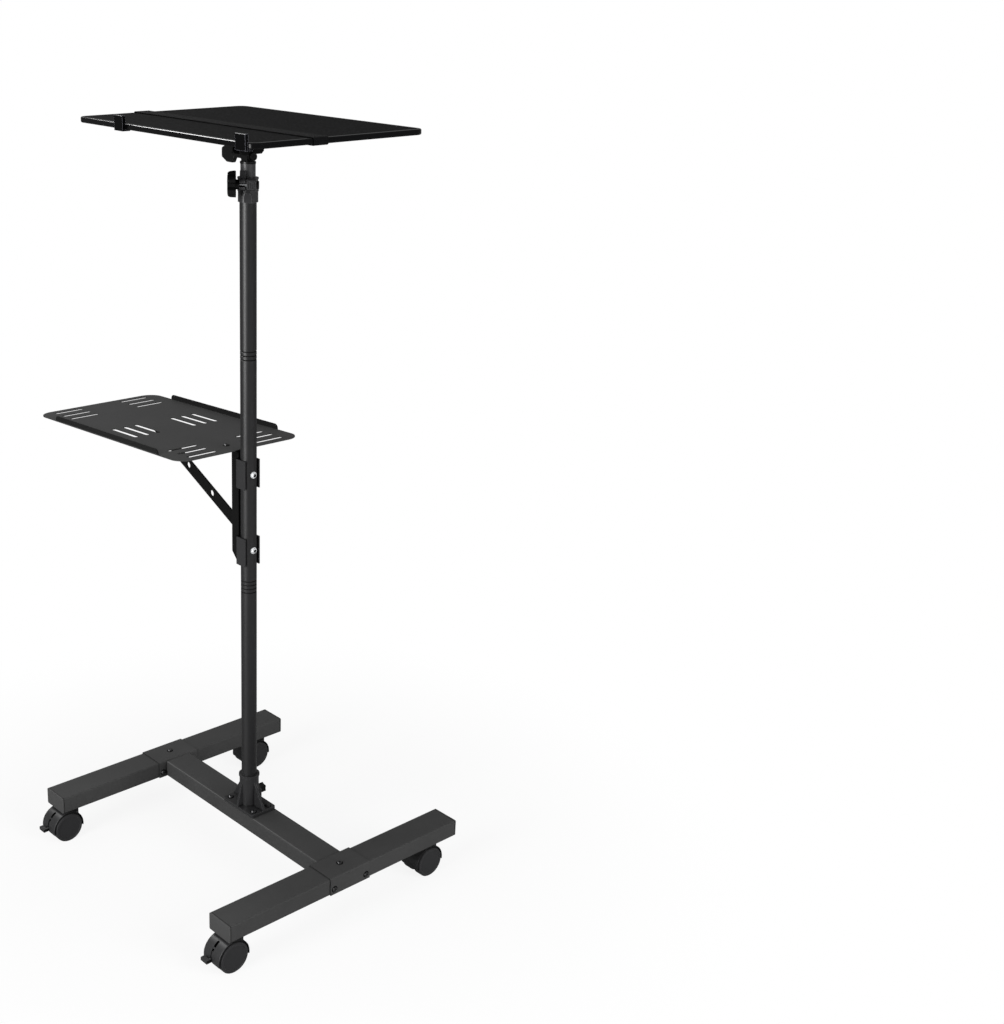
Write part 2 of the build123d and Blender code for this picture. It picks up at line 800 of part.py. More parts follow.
# Shelf bracket: a channel up the post's far side, two clips that wrap the post, and a tab under the shelf
tab_end = bracket_back + bracket_tab
flange_edge = bracket_web + bracket_depth
with BuildPart() as shelf_bracket:
    with BuildSketch(Plane.XY.offset(bracket_bottom)):
        with Locations((0, (bracket_web + bracket_back) / 2)):
            Rectangle(channel_width, bracket_sheet)
    extrude(amount=shelf_under(bracket_back) - bracket_bottom)
    for side in (-1, 1):
        with BuildSketch(upright_y.offset(side * channel_width / 2)):
            with BuildLine():
                Polyline(
                    (bracket_web, bracket_bottom),
                    (bracket_back, bracket_bottom),
                    (flange_edge, bracket_bottom + bracket_foot_rise),
                    (flange_edge, shelf_under(flange_edge)),
                    (bracket_web, shelf_under(bracket_web)),
                    close=True,
                )
            make_face()
        extrude(amount=-side * bracket_sheet)
    for level in (bracket_bottom, bracket_bottom + ear_pitch):
        with BuildSketch(Plane.XY.offset(level)) as clip:
            with Locations((0, (bracket_back - ear_wrap) / 2)):
                Rectangle(2 * bracket_half, bracket_back + ear_wrap)
            fillet(clip.vertices().group_by(Axis.Y)[-1], ear_bend + bracket_sheet)
        extrude(amount=ear_height)
        with BuildSketch(Plane.XY.offset(level)) as bay:
            with Locations((0, (bracket_web - ear_wrap) / 2)):
                Rectangle(2 * bracket_web, bracket_web + ear_wrap)
            fillet(bay.vertices().group_by(Axis.Y)[-1], ear_bend)
        extrude(amount=ear_height, mode=Mode.SUBTRACT)
    with BuildSketch(upright_y):
        with BuildLine():
            drop = bracket_sheet / cos(radians(shelf_droop))
            Polyline(
                (bracket_web, shelf_under(bracket_web)),
                (tab_end, shelf_under(tab_end)),
                (tab_end, shelf_under(tab_end) - drop),
                (bracket_web, shelf_under(bracket_web) - drop),
                close=True,
            )
        make_face()
    extrude(amount=bracket_tab_width / 2, both=True)
save(shelf_bracket.part, "shelf_bracket")

# Brace: a flat bar on edge from the channel's web to the shelf's underside, with a row of holes
brace_end = bracket_back + brace_reach
brace_rise = shelf_under(brace_end) - brace_foot_z
brace_length = sqrt(brace_reach**2 + brace_rise**2)
brace_lean = brace_rise / brace_reach
cut = brace_width / 2 * brace_length / brace_reach
with BuildPart() as shelf_brace:
    with BuildSketch(upright_y):
        with BuildLine():
            slope = brace_lean + tan(radians(shelf_droop))
            upper_y = brace_end - cut / slope
            lower_y = brace_end + cut / slope
            Polyline(
                (bracket_back, brace_foot_z - cut),
                (bracket_back, brace_foot_z + cut),
                (upper_y, shelf_under(upper_y)),
                (lower_y, shelf_under(lower_y)),
                close=True,
            )
        make_face()
        for hole in range(brace_hole_count):
            along = (brace_first_hole + hole * brace_hole_pitch) / brace_length
            with Locations((bracket_back + along * brace_reach, brace_foot_z + along * brace_rise)):
                Circle(brace_hole / 2, mode=Mode.SUBTRACT)
    extrude(amount=brace_sheet / 2, both=True)
save(shelf_brace.part, "shelf_brace")


# Caster hood: a shell over both wheels, a web between them that holds the axle, and the stem
def make_hood(stem_x, stem_y, braked):
    axle_x = stem_x - caster_trail
    middle = Plane(origin=(axle_x, stem_y, wheel_radius), x_dir=(1, 0, 0), z_dir=(0, -1, 0))
    boss_top = caster_height - washer_thickness
    with BuildPart() as hood:
        with BuildSketch(middle):
            with BuildLine():
                start = polar(hood_radius, hood_front_angle)
                end = polar(hood_radius, hood_back_angle)
                top = polar(hood_radius, (hood_front_angle + hood_back_angle) / 2)
                ThreePointArc(start, top, end)
                Polyline(end, (0, 0), start)
            make_face()
        extrude(amount=hood_half_width, both=True)
        rims = hood.edges().filter_by(GeomType.CIRCLE)
        fillet(rims, hood_round)
        with BuildSketch(Plane.XY.offset(boss_top)):
            with Locations((stem_x, stem_y)):
                Circle(boss_diameter / 2)
        extrude(amount=-boss_drop)
        for side in (-1, 1):
            with BuildSketch(middle.offset(side * web_half)):
                Circle(hood_bore)
            extrude(amount=side * boss_diameter, mode=Mode.SUBTRACT)
        with BuildSketch(middle):
            Circle(web_hub_radius)
        extrude(amount=web_half, both=True)
        with BuildSketch(middle):
            Circle(axle_diameter / 2 + axle_running)
        extrude(amount=web_half, both=True, mode=Mode.SUBTRACT)
        with BuildSketch(Plane.XY.offset(boss_top)):
            with Locations((stem_x, stem_y)):
                Circle(washer_diameter / 2)
        extrude(amount=washer_thickness)
        with BuildSketch(Plane.XY.offset(caster_height)):
            with Locations((stem_x, stem_y)):
                Circle(stem_diameter / 2)
        extrude(amount=stem_rise)
        with BuildSketch(middle):
            with BuildLine():
                outside = hood_radius + overrun
                Polyline(
                    polar(window_radius, window_low_angle),
                    polar(outside, window_low_angle),
                    polar(outside, window_high_angle),
                    polar(window_radius, window_high_angle),
                    close=True,
                )
            make_face()
        extrude(amount=window_width / 2, both=True, mode=Mode.SUBTRACT)
        if braked:
            with BuildSketch(middle):
                with BuildLine():
                    outside = hood_radius + brake_tab_end - brake_tab_start
                    points = (
                        polar(brake_pocket_radius, brake_top_angle),
                        polar(outside, brake_top_angle),
                        polar(outside, (brake_top_angle + brake_bottom_angle) / 2),
                        polar(outside, brake_bottom_angle),
                        polar(brake_pocket_radius, brake_bottom_angle),
                    )
                    Polyline(*points, close=True)
                make_face()
            extrude(amount=brake_slot / 2, both=True, mode=Mode.SUBTRACT)
            with BuildSketch(middle):
                with Locations(polar(brake_pivot_radius, brake_pivot_angle)):
                    Circle(brake_pin_diameter / 2 + brake_pin_running)
            extrude(amount=web_half, both=True, mode=Mode.SUBTRACT)
    return hood.part


# Wheels: two dished discs on one axle, turned as a single profile
def make_wheels(stem_x, stem_y):
    axle_point = (stem_x - caster_trail, stem_y, wheel_radius)
    profile_plane = Plane(origin=axle_point, x_dir=(0, 1, 0), z_dir=(1, 0, 0))
    dish_radius = wheel_radius - wheel_dish_rim
    dish_face = wheel_half_span - wheel_dish
    with BuildPart() as wheels:
        with BuildSketch(profile_plane):
            with BuildLine():
                half = [
                    (dish_face, 0),
                    (dish_face, dish_radius - wheel_dish),
                    (wheel_half_span, dish_radius),
                    (wheel_half_span, wheel_radius - wheel_edge),
                    (wheel_half_span - wheel_edge, wheel_radius),
                    (wheel_inner + wheel_edge, wheel_radius),
                    (wheel_inner, wheel_radius - wheel_edge),
                    (wheel_inner, axle_diameter / 2),
                ]
                other_half = [(-across, up) for across, up in reversed(half)]
                Polyline(*half, *other_half, close=True)
            make_face()
        revolve(axis=Axis(origin=axle_point, direction=(0, 1, 0)))
    return wheels.part


# Brake lever: an arm in the hood's slot on a cross pin, with a tab to press
def make_brake(stem_x, stem_y):
    middle = Plane(origin=(stem_x - caster_trail, stem_y, wheel_radius), x_dir=(1, 0, 0), z_dir=(0, -1, 0))
    arm_outer = hood_bore + hood_wall / 2
    tab_middle = (brake_tab_start + brake_tab_end) / 2
    with BuildPart() as brake:
        with BuildSketch(middle):
            with BuildLine():
                inner_top = polar(brake_inner, brake_pivot_angle)
                inner_mid = polar(brake_inner, (brake_pivot_angle + brake_end_angle) / 2)
                inner_end = polar(brake_inner, brake_end_angle)
                outer_top = polar(arm_outer, brake_pivot_angle)
                outer_mid = polar(arm_outer, (brake_pivot_angle + brake_end_angle) / 2)
                outer_end = polar(arm_outer, brake_end_angle)
                ThreePointArc(inner_top, inner_mid, inner_end)
                Line(inner_end, outer_end)
                ThreePointArc(outer_end, outer_mid, outer_top)
                Line(outer_top, inner_top)
            make_face()
            with Locations(polar(brake_pivot_radius, brake_pivot_angle)):
                Circle(arm_outer - brake_pivot_radius)
            with Locations(polar((brake_inner + brake_tab_start) / 2, brake_tab_angle)):
                Rectangle(brake_tab_start - brake_inner, brake_tab_thickness, rotation=brake_tab_angle)
        extrude(amount=brake_half, both=True)
        with BuildSketch(middle.offset(brake_half)):
            with Locations(polar(tab_middle, brake_tab_angle)):
                Rectangle(brake_tab_end - brake_tab_start, brake_tab_thickness, rotation=brake_tab_angle)
        extrude(amount=-brake_half - brake_tab_reach)
        with BuildSketch(middle):
            with Locations(polar(brake_pivot_radius, brake_pivot_angle)):
                Circle(brake_pin_diameter / 2)
        extrude(amount=web_half, both=True)
    return brake.part


for place, way in (("near", -1), ("far", 1)):
    for end, side in (("left", -1), ("right", 1)):
        stem = (side * caster_x, way * caster_y)
        braked = end == "left"
        save(make_hood(*stem, braked), f"{place}_{end}_caster")
        save(make_wheels(*stem), f"{place}_{end}_wheels")
        if braked:
            save(make_brake(*stem), f"{place}_{end}_brake")
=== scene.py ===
"""Dress a rolling projector stand: finishes for every piece, screws, webbing and a plain studio."""

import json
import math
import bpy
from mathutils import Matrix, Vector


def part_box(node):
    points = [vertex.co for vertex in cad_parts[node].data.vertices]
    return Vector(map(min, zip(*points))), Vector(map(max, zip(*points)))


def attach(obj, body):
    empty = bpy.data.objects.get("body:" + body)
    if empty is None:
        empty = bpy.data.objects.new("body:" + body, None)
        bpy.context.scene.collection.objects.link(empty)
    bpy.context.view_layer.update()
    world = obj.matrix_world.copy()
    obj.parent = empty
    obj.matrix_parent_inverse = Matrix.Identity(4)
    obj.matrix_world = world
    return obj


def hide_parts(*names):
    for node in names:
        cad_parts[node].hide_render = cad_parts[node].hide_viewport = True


bl_info = {
    "name": "Projector Stand Dresser",
    "version": (1, 0, 0),
    "blender": (4, 5, 0),
    "location": "3D View > Sidebar > Stand",
    "description": "Finishes, fasteners, webbing and studio for a rolling projector stand",
    "category": "Object",
}

import bmesh
import bpy
from mathutils import Matrix, Vector

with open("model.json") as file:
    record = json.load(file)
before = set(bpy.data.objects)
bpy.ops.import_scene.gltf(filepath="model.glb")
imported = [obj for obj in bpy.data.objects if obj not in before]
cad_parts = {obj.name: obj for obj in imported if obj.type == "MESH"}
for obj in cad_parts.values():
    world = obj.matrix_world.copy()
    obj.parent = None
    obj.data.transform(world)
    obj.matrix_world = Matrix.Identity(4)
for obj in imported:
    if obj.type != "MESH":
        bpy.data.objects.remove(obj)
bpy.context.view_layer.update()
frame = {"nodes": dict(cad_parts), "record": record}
NODES = frame["nodes"]
MM = 0.001
# Folds up to this angle are shaded as one smooth surface.
SMOOTH_FOLD = math.radians(32)


def linear(hex_colour):
    """Turn an sRGB hex colour into linear red, green and blue."""
    channels = [int(hex_colour[i : i + 2], 16) / 255 for i in (1, 3, 5)]
    return tuple(c / 12.92 if c <= 0.04045 else ((c + 0.055) / 1.055) ** 2.4 for c in channels)


def colour_property(label, words, hex_colour):
    """A colour that a user can change, written as an sRGB hex value."""
    return bpy.props.FloatVectorProperty(
        name=label, description=words, subtype="COLOR", size=3, min=0.0, max=1.0, default=linear(hex_colour)
    )


def length_property(label, words, millimetres):
    """A length that a user can change, written in millimetres."""
    return bpy.props.FloatProperty(
        name=label, description=words, unit="LENGTH", subtype="DISTANCE", min=0.0, default=millimetres * MM
    )


class StandColours(bpy.types.PropertyGroup):
    """The colours of the stand's finishes."""

    frame_coat: colour_property("Frame coat", "Powder coat on the base and the shelf", "#3b3b3b")
    # A near-black coat, darker than the frame's, painted as the shade that falls on brackets, brace and
    # lips.
    painted_shade_coat: colour_property("Bracket coat", "Black coat on brackets, brace and lips", "#0d0d0d")
    # The ears are painted paler, as the light that they catch.
    lit_ear_coat: colour_property("Ear coat", "Bracket ears, rubbed paler by the post", "#343435")
    post_coat: colour_property("Post coat", "Satin coat on the post tubes", "#19191a")
    mast_coat: colour_property("Mast coat", "Satin coat on the sliding mast", "#333334")
    moulded: colour_property("Moulded plastic", "Knobs and head", "#090909")
    collar: colour_property("Collar", "Split collar on the post", "#2c2c2d")
    socket: colour_property("Socket", "Ribbed socket under the post", "#262627")
    end_cap: colour_property("End caps", "Plastic caps in the feet", "#434343")
    tray_panel: colour_property("Tray panel", "Moulded tray and its rim", "#070708")
    grip_mat: colour_property("Grip mat", "Foam mat on the tray", "#0a0a0b")
    webbing: colour_property("Webbing", "Woven strap", "#0d0d0e")
    thread: colour_property("Thread", "Stitching on the strap", "#393939")
    caster_hood: colour_property("Caster hood", "Moulded hood and brake lever", "#2a2a2b")
    caster_wheel: colour_property("Caster wheel", "Moulded wheel", "#2a2a2b")
    zinc: colour_property("Zinc plate", "Bright screws on the post", "#eceef0")
    black_steel: colour_property("Blackened steel", "Screws on the base and the shelf", "#565657")
    floor: colour_property("Floor", "Studio floor", "#f8f8f8")
    floor_seen_by_stand: colour_property("Floor, reflected", "Floor as the stand sees it", "#9b9b9b")


class StandSizes(bpy.types.PropertyGroup):
    """The sizes of what is added to the frame."""

    pan_head: length_property("Pan head", "Diameter of a screw on the base", 8.0)
    pan_rise: length_property("Pan rise", "Height of that head", 2.4)
    button_head: length_property("Button head", "Diameter of a bright screw on the post", 8.6)
    button_rise: length_property("Button rise", "Height of that head", 3.2)
    strap_width: length_property("Strap width", "Width of the webbing", 25.0)
    strap_thickness: length_property("Strap thickness", "Thickness of the webbing", 1.5)
    strap_overlap: length_property("Strap overlap", "Length sewn double under the tray", 90.0)
    stitch: length_property("Stitch", "Length of one stitch", 3.2)


def colours():
    return bpy.context.scene.stand_colours


def sizes():
    return bpy.context.scene.stand_sizes


# Places read from the frame


def mount(name):
    """Where a mount of the frame is, and the way that it faces."""
    found = next(m for m in frame["record"]["mounts"] if m["name"] == name)
    return Vector(found["pos_m"]), Vector(found["axis"])


def joint(name):
    """Where a joint of the frame is, and its axis."""
    found = next(j for j in frame["record"]["behaviour"]["joints"] if j["name"] == name)
    return Vector(found["pos_m"]), Vector(found["axis"])


# The shelf hangs a little low at its free end and the tray leans to the left. Both follow the mounts.
SHELF_SPOT, SHELF_UP = mount("shelf_top")
TRAY_SPOT, TRAY_UP = mount("tray_top")
TRAY_FRAME = Matrix.Translation(TRAY_SPOT) @ Matrix.Rotation(math.atan2(TRAY_UP.x, TRAY_UP.z), 4, "Y")


def level_box(name):
    """The two corners of a tray piece's box, in the tray's own frame."""
    level = TRAY_FRAME.inverted() @ NODES[name].matrix_world
    points = [level @ corner.co for corner in NODES[name].data.vertices]
    return [Vector(map(pick, zip(*points))) for pick in (min, max)]


def shelf_point(across, out):
    """A point of the shelf's upper face, across from its middle and out from the post's axis."""
    drop = (out - SHELF_SPOT.y) * SHELF_UP.y / SHELF_UP.z
    return Vector((across, out, SHELF_SPOT.z - drop))


# What the finishes share


def add_node(tree, kind, inputs=None, **settings):
    """Add a node, apply its settings, and fill or link its inputs."""
    node = tree.nodes.new(kind)
    for name, value in settings.items():
        setattr(node, name, value)
    for name, value in (inputs or {}).items():
        if isinstance(value, bpy.types.NodeSocket):
            tree.links.new(value, node.inputs[name])
        else:
            node.inputs[name].default_value = value
    return node


def opaque(rgb):
    return (*rgb, 1.0)


def lighter(rgb, by):
    """The same colour with its light scaled."""
    return tuple(min(1.0, c * by) for c in rgb)


def shader_of(material):
    """A material's node tree and its shader."""
    tree = material.node_tree
    return tree, tree.nodes["Principled BSDF"]


def start_material(name, **shader):
    """A material with its node tree and its shader, whose plain sockets are set here."""
    material = bpy.data.materials.new(name)
    material.use_nodes = True
    tree, principled = shader_of(material)
    for socket, value in shader.items():
        principled.inputs[socket.replace("_", " ")].default_value = value
    return material, tree, principled


def source(principled, name):
    """What feeds an input of a shader so far."""
    return principled.inputs[name].links[0].from_socket


def grain(tree, millimetres, detail=2.0):
    """Noise whose features are about that wide on the piece."""
    place = add_node(tree, "ShaderNodeTexCoord")
    inputs = {"Vector": place.outputs["Object"], "Scale": 1 / (millimetres * MM), "Detail": detail}
    return add_node(tree, "ShaderNodeTexNoise", {**inputs, "Roughness": 0.6})


def component(tree, coordinate, way):
    """How much of a place or a normal lies along a direction of the frame."""
    inputs = {0: add_node(tree, "ShaderNodeTexCoord").outputs[coordinate], 1: way}
    return add_node(tree, "ShaderNodeVectorMath", inputs, operation="DOT_PRODUCT").outputs["Value"]


def edge_highlight_mask(tree, millimetres):
    """White on edges and black elsewhere: the mask for a painted highlight along edges."""
    rounded = add_node(tree, "ShaderNodeBevel", {"Radius": millimetres * MM}, samples=6)
    flat = add_node(tree, "ShaderNodeNewGeometry")
    normals = {0: rounded.outputs["Normal"], 1: flat.outputs["Normal"]}
    agree = add_node(tree, "ShaderNodeVectorMath", normals, operation="DOT_PRODUCT")
    # The two normals part by about 39 degrees where the mask is full.
    span = {"Value": agree.outputs["Value"], "From Min": 1.0, "From Max": 0.78}
    return add_node(tree, "ShaderNodeMapRange", span).outputs["Result"]


def painted_crease_shade_mask(tree):
    """Black in seams and inner corners, where shade falls, and white elsewhere: the mask for painted shade.
    """
    open_sky = add_node(tree, "ShaderNodeAmbientOcclusion", {"Distance": 4 * MM}, samples=8)
    span = {"Value": open_sky.outputs["AO"], "From Min": 0.35, "From Max": 0.9}
    return add_node(tree, "ShaderNodeMapRange", span).outputs["Result"]


def finish_surface(tree, principled, base, fine, cloud, tone, rough, bump, edge=None):
    """Link a cloudy colour, a grained sheen and a bump and, if asked, painted highlights on edges and
    painted shade in seams.
    """
    halves = {0: 0.5, 2: cloud.outputs["Fac"], 3: fine.outputs["Fac"]}
    patchy = add_node(tree, "ShaderNodeMix", halves, data_type="FLOAT")
    dim, bright = (opaque(lighter(base, share)) for share in (1 - tone, 1 + tone))
    tint = add_node(tree, "ShaderNodeMix", {0: patchy.outputs[0], 6: dim, 7: bright}, data_type="RGBA")
    shade = tint.outputs[2]
    if edge:
        mask, edge_highlight_gain = edge
        # Painted light: edges take a lighter colour as a highlight, and seams and inner corners a
        # near-black one as shade.
        thin, crease_shade = (opaque(lighter(base, share)) for share in (edge_highlight_gain, 0.1))
        edge_lit = add_node(tree, "ShaderNodeMix", {0: mask, 6: shade, 7: thin}, data_type="RGBA")
        layers = {0: painted_crease_shade_mask(tree), 6: crease_shade, 7: edge_lit.outputs[2]}
        shade = add_node(tree, "ShaderNodeMix", layers, data_type="RGBA").outputs[2]
    tree.links.new(shade, principled.inputs["Base Color"])
    low, high = rough
    span = {"Value": fine.outputs["Fac"], "To Min": low, "To Max": high}
    sheen = add_node(tree, "ShaderNodeMapRange", span)
    tree.links.new(sheen.outputs["Result"], principled.inputs["Roughness"])
    strength, depth = bump
    pebbles = {"Height": fine.outputs["Fac"], "Strength": strength, "Distance": depth * MM}
    relief = add_node(tree, "ShaderNodeBump", pebbles)
    tree.links.new(relief.outputs["Normal"], principled.inputs["Normal"])


def paint_over(tree, principled, mask, colour):
    """Lay a colour over the base colour where a mask is white."""
    layers = {0: mask, 6: source(principled, "Base Color"), 7: opaque(colour)}
    painted = add_node(tree, "ShaderNodeMix", layers, data_type="RGBA")
    tree.links.new(painted.outputs[2], principled.inputs["Base Color"])


def roughen(tree, principled, mask, rough):
    """Bring the roughness to a value where a mask is white."""
    layers = {0: mask, 2: source(principled, "Roughness"), 3: rough}
    dulled = add_node(tree, "ShaderNodeMix", layers, data_type="FLOAT")
    tree.links.new(dulled.outputs[0], principled.inputs["Roughness"])


# Finishes of the steel


def powder_coated_steel(name, base, level=0.3, edge_highlight_gain=0.5):
    """Baked polyester powder on steel: a fine pebbled skin, matt, with painted highlights on its edges and
    painted shade in its seams.
    """
    material, tree, principled = start_material(name, Specular_IOR_Level=level)
    # The real pebbles are about 0.3 mm, drawn at 2.6 mm so that they show.
    fine, cloud = grain(tree, 2.6), grain(tree, 70.0, detail=3.0)
    edge = (edge_highlight_mask(tree, 1.2), edge_highlight_gain)
    finish_surface(
        tree, principled, base, fine, cloud, tone=0.45, rough=(0.46, 0.62), bump=(0.22, 0.25), edge=edge
    )
    return material


def painted_shade_and_light_beyond(material, colour, start, way, both=False):
    """Another tone beyond a start, measured one way, or both ways, from the frame's origin: here painted
    shade on the shelf's lips and the feet's cap seams, and painted light on the bracket's ears.
    """
    tree, principled = shader_of(material)
    reach = component(tree, "Object", way)
    if both:
        reach = add_node(tree, "ShaderNodeMath", {0: reach}, operation="ABSOLUTE").outputs[0]
    span = {"Value": reach, "From Min": start + 0.2 * MM, "From Max": start + 0.6 * MM}
    beyond = add_node(tree, "ShaderNodeMapRange", span).outputs["Result"]
    paint_over(tree, principled, beyond, colour)


def matt_underside(material):
    """Roughen the faces that look down, where the finish is left coarse."""
    tree, principled = shader_of(material)
    span = {"Value": component(tree, "Normal", (0, 0, 1)), "From Min": -0.5, "From Max": -0.9}
    down = add_node(tree, "ShaderNodeMapRange", span).outputs["Result"]
    roughen(tree, principled, down, 0.95)


def satin_coated_tube(name, base):
    """Smooth satin powder on drawn tube: a soft long highlight with a faint orange peel."""
    material, tree, principled = start_material(name, Specular_IOR_Level=0.55)
    fine, cloud = grain(tree, 2.2), grain(tree, 90.0, detail=3.0)
    finish_surface(tree, principled, base, fine, cloud, tone=0.08, rough=(0.36, 0.46), bump=(0.08, 0.12))
    return material


def shade_ring_grooves(material, radius):
    """Paint shade into a tube's rolled rings and roughen them, so that they cut across its highlight."""
    tree, principled = shader_of(material)
    place = add_node(tree, "ShaderNodeTexCoord")
    inputs = {0: place.outputs["Object"], 1: (1, 1, 0)}
    level = add_node(tree, "ShaderNodeVectorMath", inputs, operation="MULTIPLY")
    reach = add_node(tree, "ShaderNodeVectorMath", {0: level.outputs["Vector"]}, operation="LENGTH")
    edges = {"From Min": radius - 0.12 * MM, "From Max": radius - 0.25 * MM}
    span = {"Value": reach.outputs["Value"], **edges}
    groove_shade = add_node(tree, "ShaderNodeMapRange", span).outputs["Result"]
    paint_over(tree, principled, groove_shade, (0, 0, 0))
    roughen(tree, principled, groove_shade, 1.0)


def plated_steel(name, base, rough, metal):
    """Plated screw steel: a soft sheen, slightly clouded by the bath, which also scatters some light."""
    material, tree, principled = start_material(name, Metallic=metal)
    fine, cloud = grain(tree, 0.8), grain(tree, 4.0)
    finish_surface(tree, principled, base, fine, cloud, tone=0.12, rough=rough, bump=(0.05, 0.05))
    return material


# Finishes of the plastics


def moulded_plastic(name, base, rough, edge_highlight_gain=1.8, level=0.3, grain_mm=0.9):
    """Injection-moulded plastic from a spark-eroded tool: even and satin, with painted highlights on its
    edges and painted shade in its seams.
    """
    material, tree, principled = start_material(name, IOR=1.46, Specular_IOR_Level=level)
    fine, cloud = grain(tree, grain_mm), grain(tree, 25.0)
    edge = (edge_highlight_mask(tree, 0.8), edge_highlight_gain)
    finish_surface(
        tree, principled, base, fine, cloud, tone=0.08, rough=rough, bump=(0.14, 0.12), edge=edge
    )
    return material


def bolt_core(material, point, axis, radius):
    """Bright plated steel within a radius of a bolt's axis, where the moulded grip is bare."""
    tree, principled = shader_of(material)
    place = add_node(tree, "ShaderNodeTexCoord")
    ends = {0: place.outputs["Object"], 1: point}
    arm = add_node(tree, "ShaderNodeVectorMath", ends, operation="SUBTRACT")
    sides = {0: arm.outputs["Vector"], 1: axis}
    cross = add_node(tree, "ShaderNodeVectorMath", sides, operation="CROSS_PRODUCT")
    reach = add_node(tree, "ShaderNodeVectorMath", {0: cross.outputs["Vector"]}, operation="LENGTH")
    limit = {0: reach.outputs["Value"], 1: radius}
    inside = add_node(tree, "ShaderNodeMath", limit, operation="LESS_THAN").outputs[0]
    paint_over(tree, principled, inside, colours().zinc)
    tree.links.new(inside, principled.inputs["Metallic"])


def shade_hood_rims(material):
    """Paint shade on the faces that look along Y, the thin rims of a hood beside its wheels."""
    tree, principled = shader_of(material)
    sideways = component(tree, "Normal", (0, 1, 0))
    amount = add_node(tree, "ShaderNodeMath", {0: sideways}, operation="ABSOLUTE").outputs[0]
    span = {"Value": amount, "From Min": 0.6, "From Max": 0.8, "To Min": 1.0, "To Max": 0.12}
    share = add_node(tree, "ShaderNodeMapRange", span).outputs["Result"]
    inputs = {0: source(principled, "Base Color"), "Scale": share}
    dimmed = add_node(tree, "ShaderNodeVectorMath", inputs, operation="SCALE")
    tree.links.new(dimmed.outputs["Vector"], principled.inputs["Base Color"])


def foam_grip_mat():
    """Closed-cell foam sheet with pressed dimples: deep black, matt, catching light on its bumps."""
    material, tree, principled = start_material("foam_grip_mat", Roughness=0.85, Specular_IOR_Level=0.06)
    place = add_node(tree, "ShaderNodeTexCoord").outputs["Object"]
    # Dimples 2.4 mm apart.
    pressed = {"Vector": place, "Scale": 1 / (2.4 * MM), "Randomness": 0.6}
    cells = add_node(tree, "ShaderNodeTexVoronoi", pressed)
    # The foam's own flecks are about 1 mm, drawn at 3.5 mm so that they show.
    speckle = grain(tree, 3.5, detail=3.0)
    span = {"Value": speckle.outputs["Fac"], "From Min": 0.48, "From Max": 0.68}
    flecks = add_node(tree, "ShaderNodeMapRange", span).outputs["Result"]
    dark, pale = (opaque(lighter(colours().grip_mat, by)) for by in (0.3, 6.5))
    tone = add_node(tree, "ShaderNodeMix", {0: flecks, 6: dark, 7: pale}, data_type="RGBA")
    tree.links.new(tone.outputs[2], principled.inputs["Base Color"])
    dents = {"Height": cells.outputs["Distance"], "Strength": 0.5, "Distance": 0.5 * MM}
    relief = add_node(tree, "ShaderNodeBump", dents)
    tree.links.new(relief.outputs["Normal"], principled.inputs["Normal"])
    return material


# Finishes of the strap


def woven_polyester():
    """Polyester webbing woven in a twill: matt black, with fine slanting ribs and a faint fibre sheen."""
    material, tree, principled = start_material(
        "woven_polyester", Roughness=0.82, Specular_IOR_Level=0.09, Sheen_Weight=0.02, Sheen_Roughness=0.5
    )
    # Real ribs are 0.9 mm apart, drawn 1.131 mm apart so that they show. A wave of scale 1 repeats every
    # tau / 20 units.
    pitch = 1.131 * MM
    place = add_node(tree, "ShaderNodeTexCoord").outputs["UV"]
    turn = {"Rotation": (0, 0, math.radians(28)), "Scale": (1 / pitch, 1 / pitch, 1)}
    slant = add_node(tree, "ShaderNodeMapping", {"Vector": place, **turn})
    twill = {"Vector": slant.outputs["Vector"], "Scale": math.tau / 20, "Distortion": 0.6}
    ribs = add_node(tree, "ShaderNodeTexWave", twill, bands_direction="Y").outputs["Fac"]
    dark, pale = (opaque(lighter(colours().webbing, by)) for by in (0.55, 1.8))
    tone = add_node(tree, "ShaderNodeMix", {0: ribs, 6: dark, 7: pale}, data_type="RGBA")
    tree.links.new(tone.outputs[2], principled.inputs["Base Color"])
    fuzz = grain(tree, 0.7, detail=3.0).outputs["Fac"]
    height = add_node(tree, "ShaderNodeMath", {0: fuzz, 1: 0.3, 2: ribs}, operation="MULTIPLY_ADD")
    raised = {"Height": height.outputs[0], "Strength": 0.7, "Distance": 0.35 * MM}
    relief = add_node(tree, "ShaderNodeBump", raised)
    tree.links.new(relief.outputs["Normal"], principled.inputs["Normal"])
    return material


def spun_thread():
    """Spun polyester thread: matt strands a shade paler than the webbing."""
    material, tree, principled = start_material("spun_thread", Specular_IOR_Level=0.15)
    fine, cloud = grain(tree, 0.5), grain(tree, 6.0)
    base = colours().thread
    finish_surface(tree, principled, base, fine, cloud, tone=0.2, rough=(0.7, 0.85), bump=(0.3, 0.1))
    return material


# Dressing the pieces of the frame


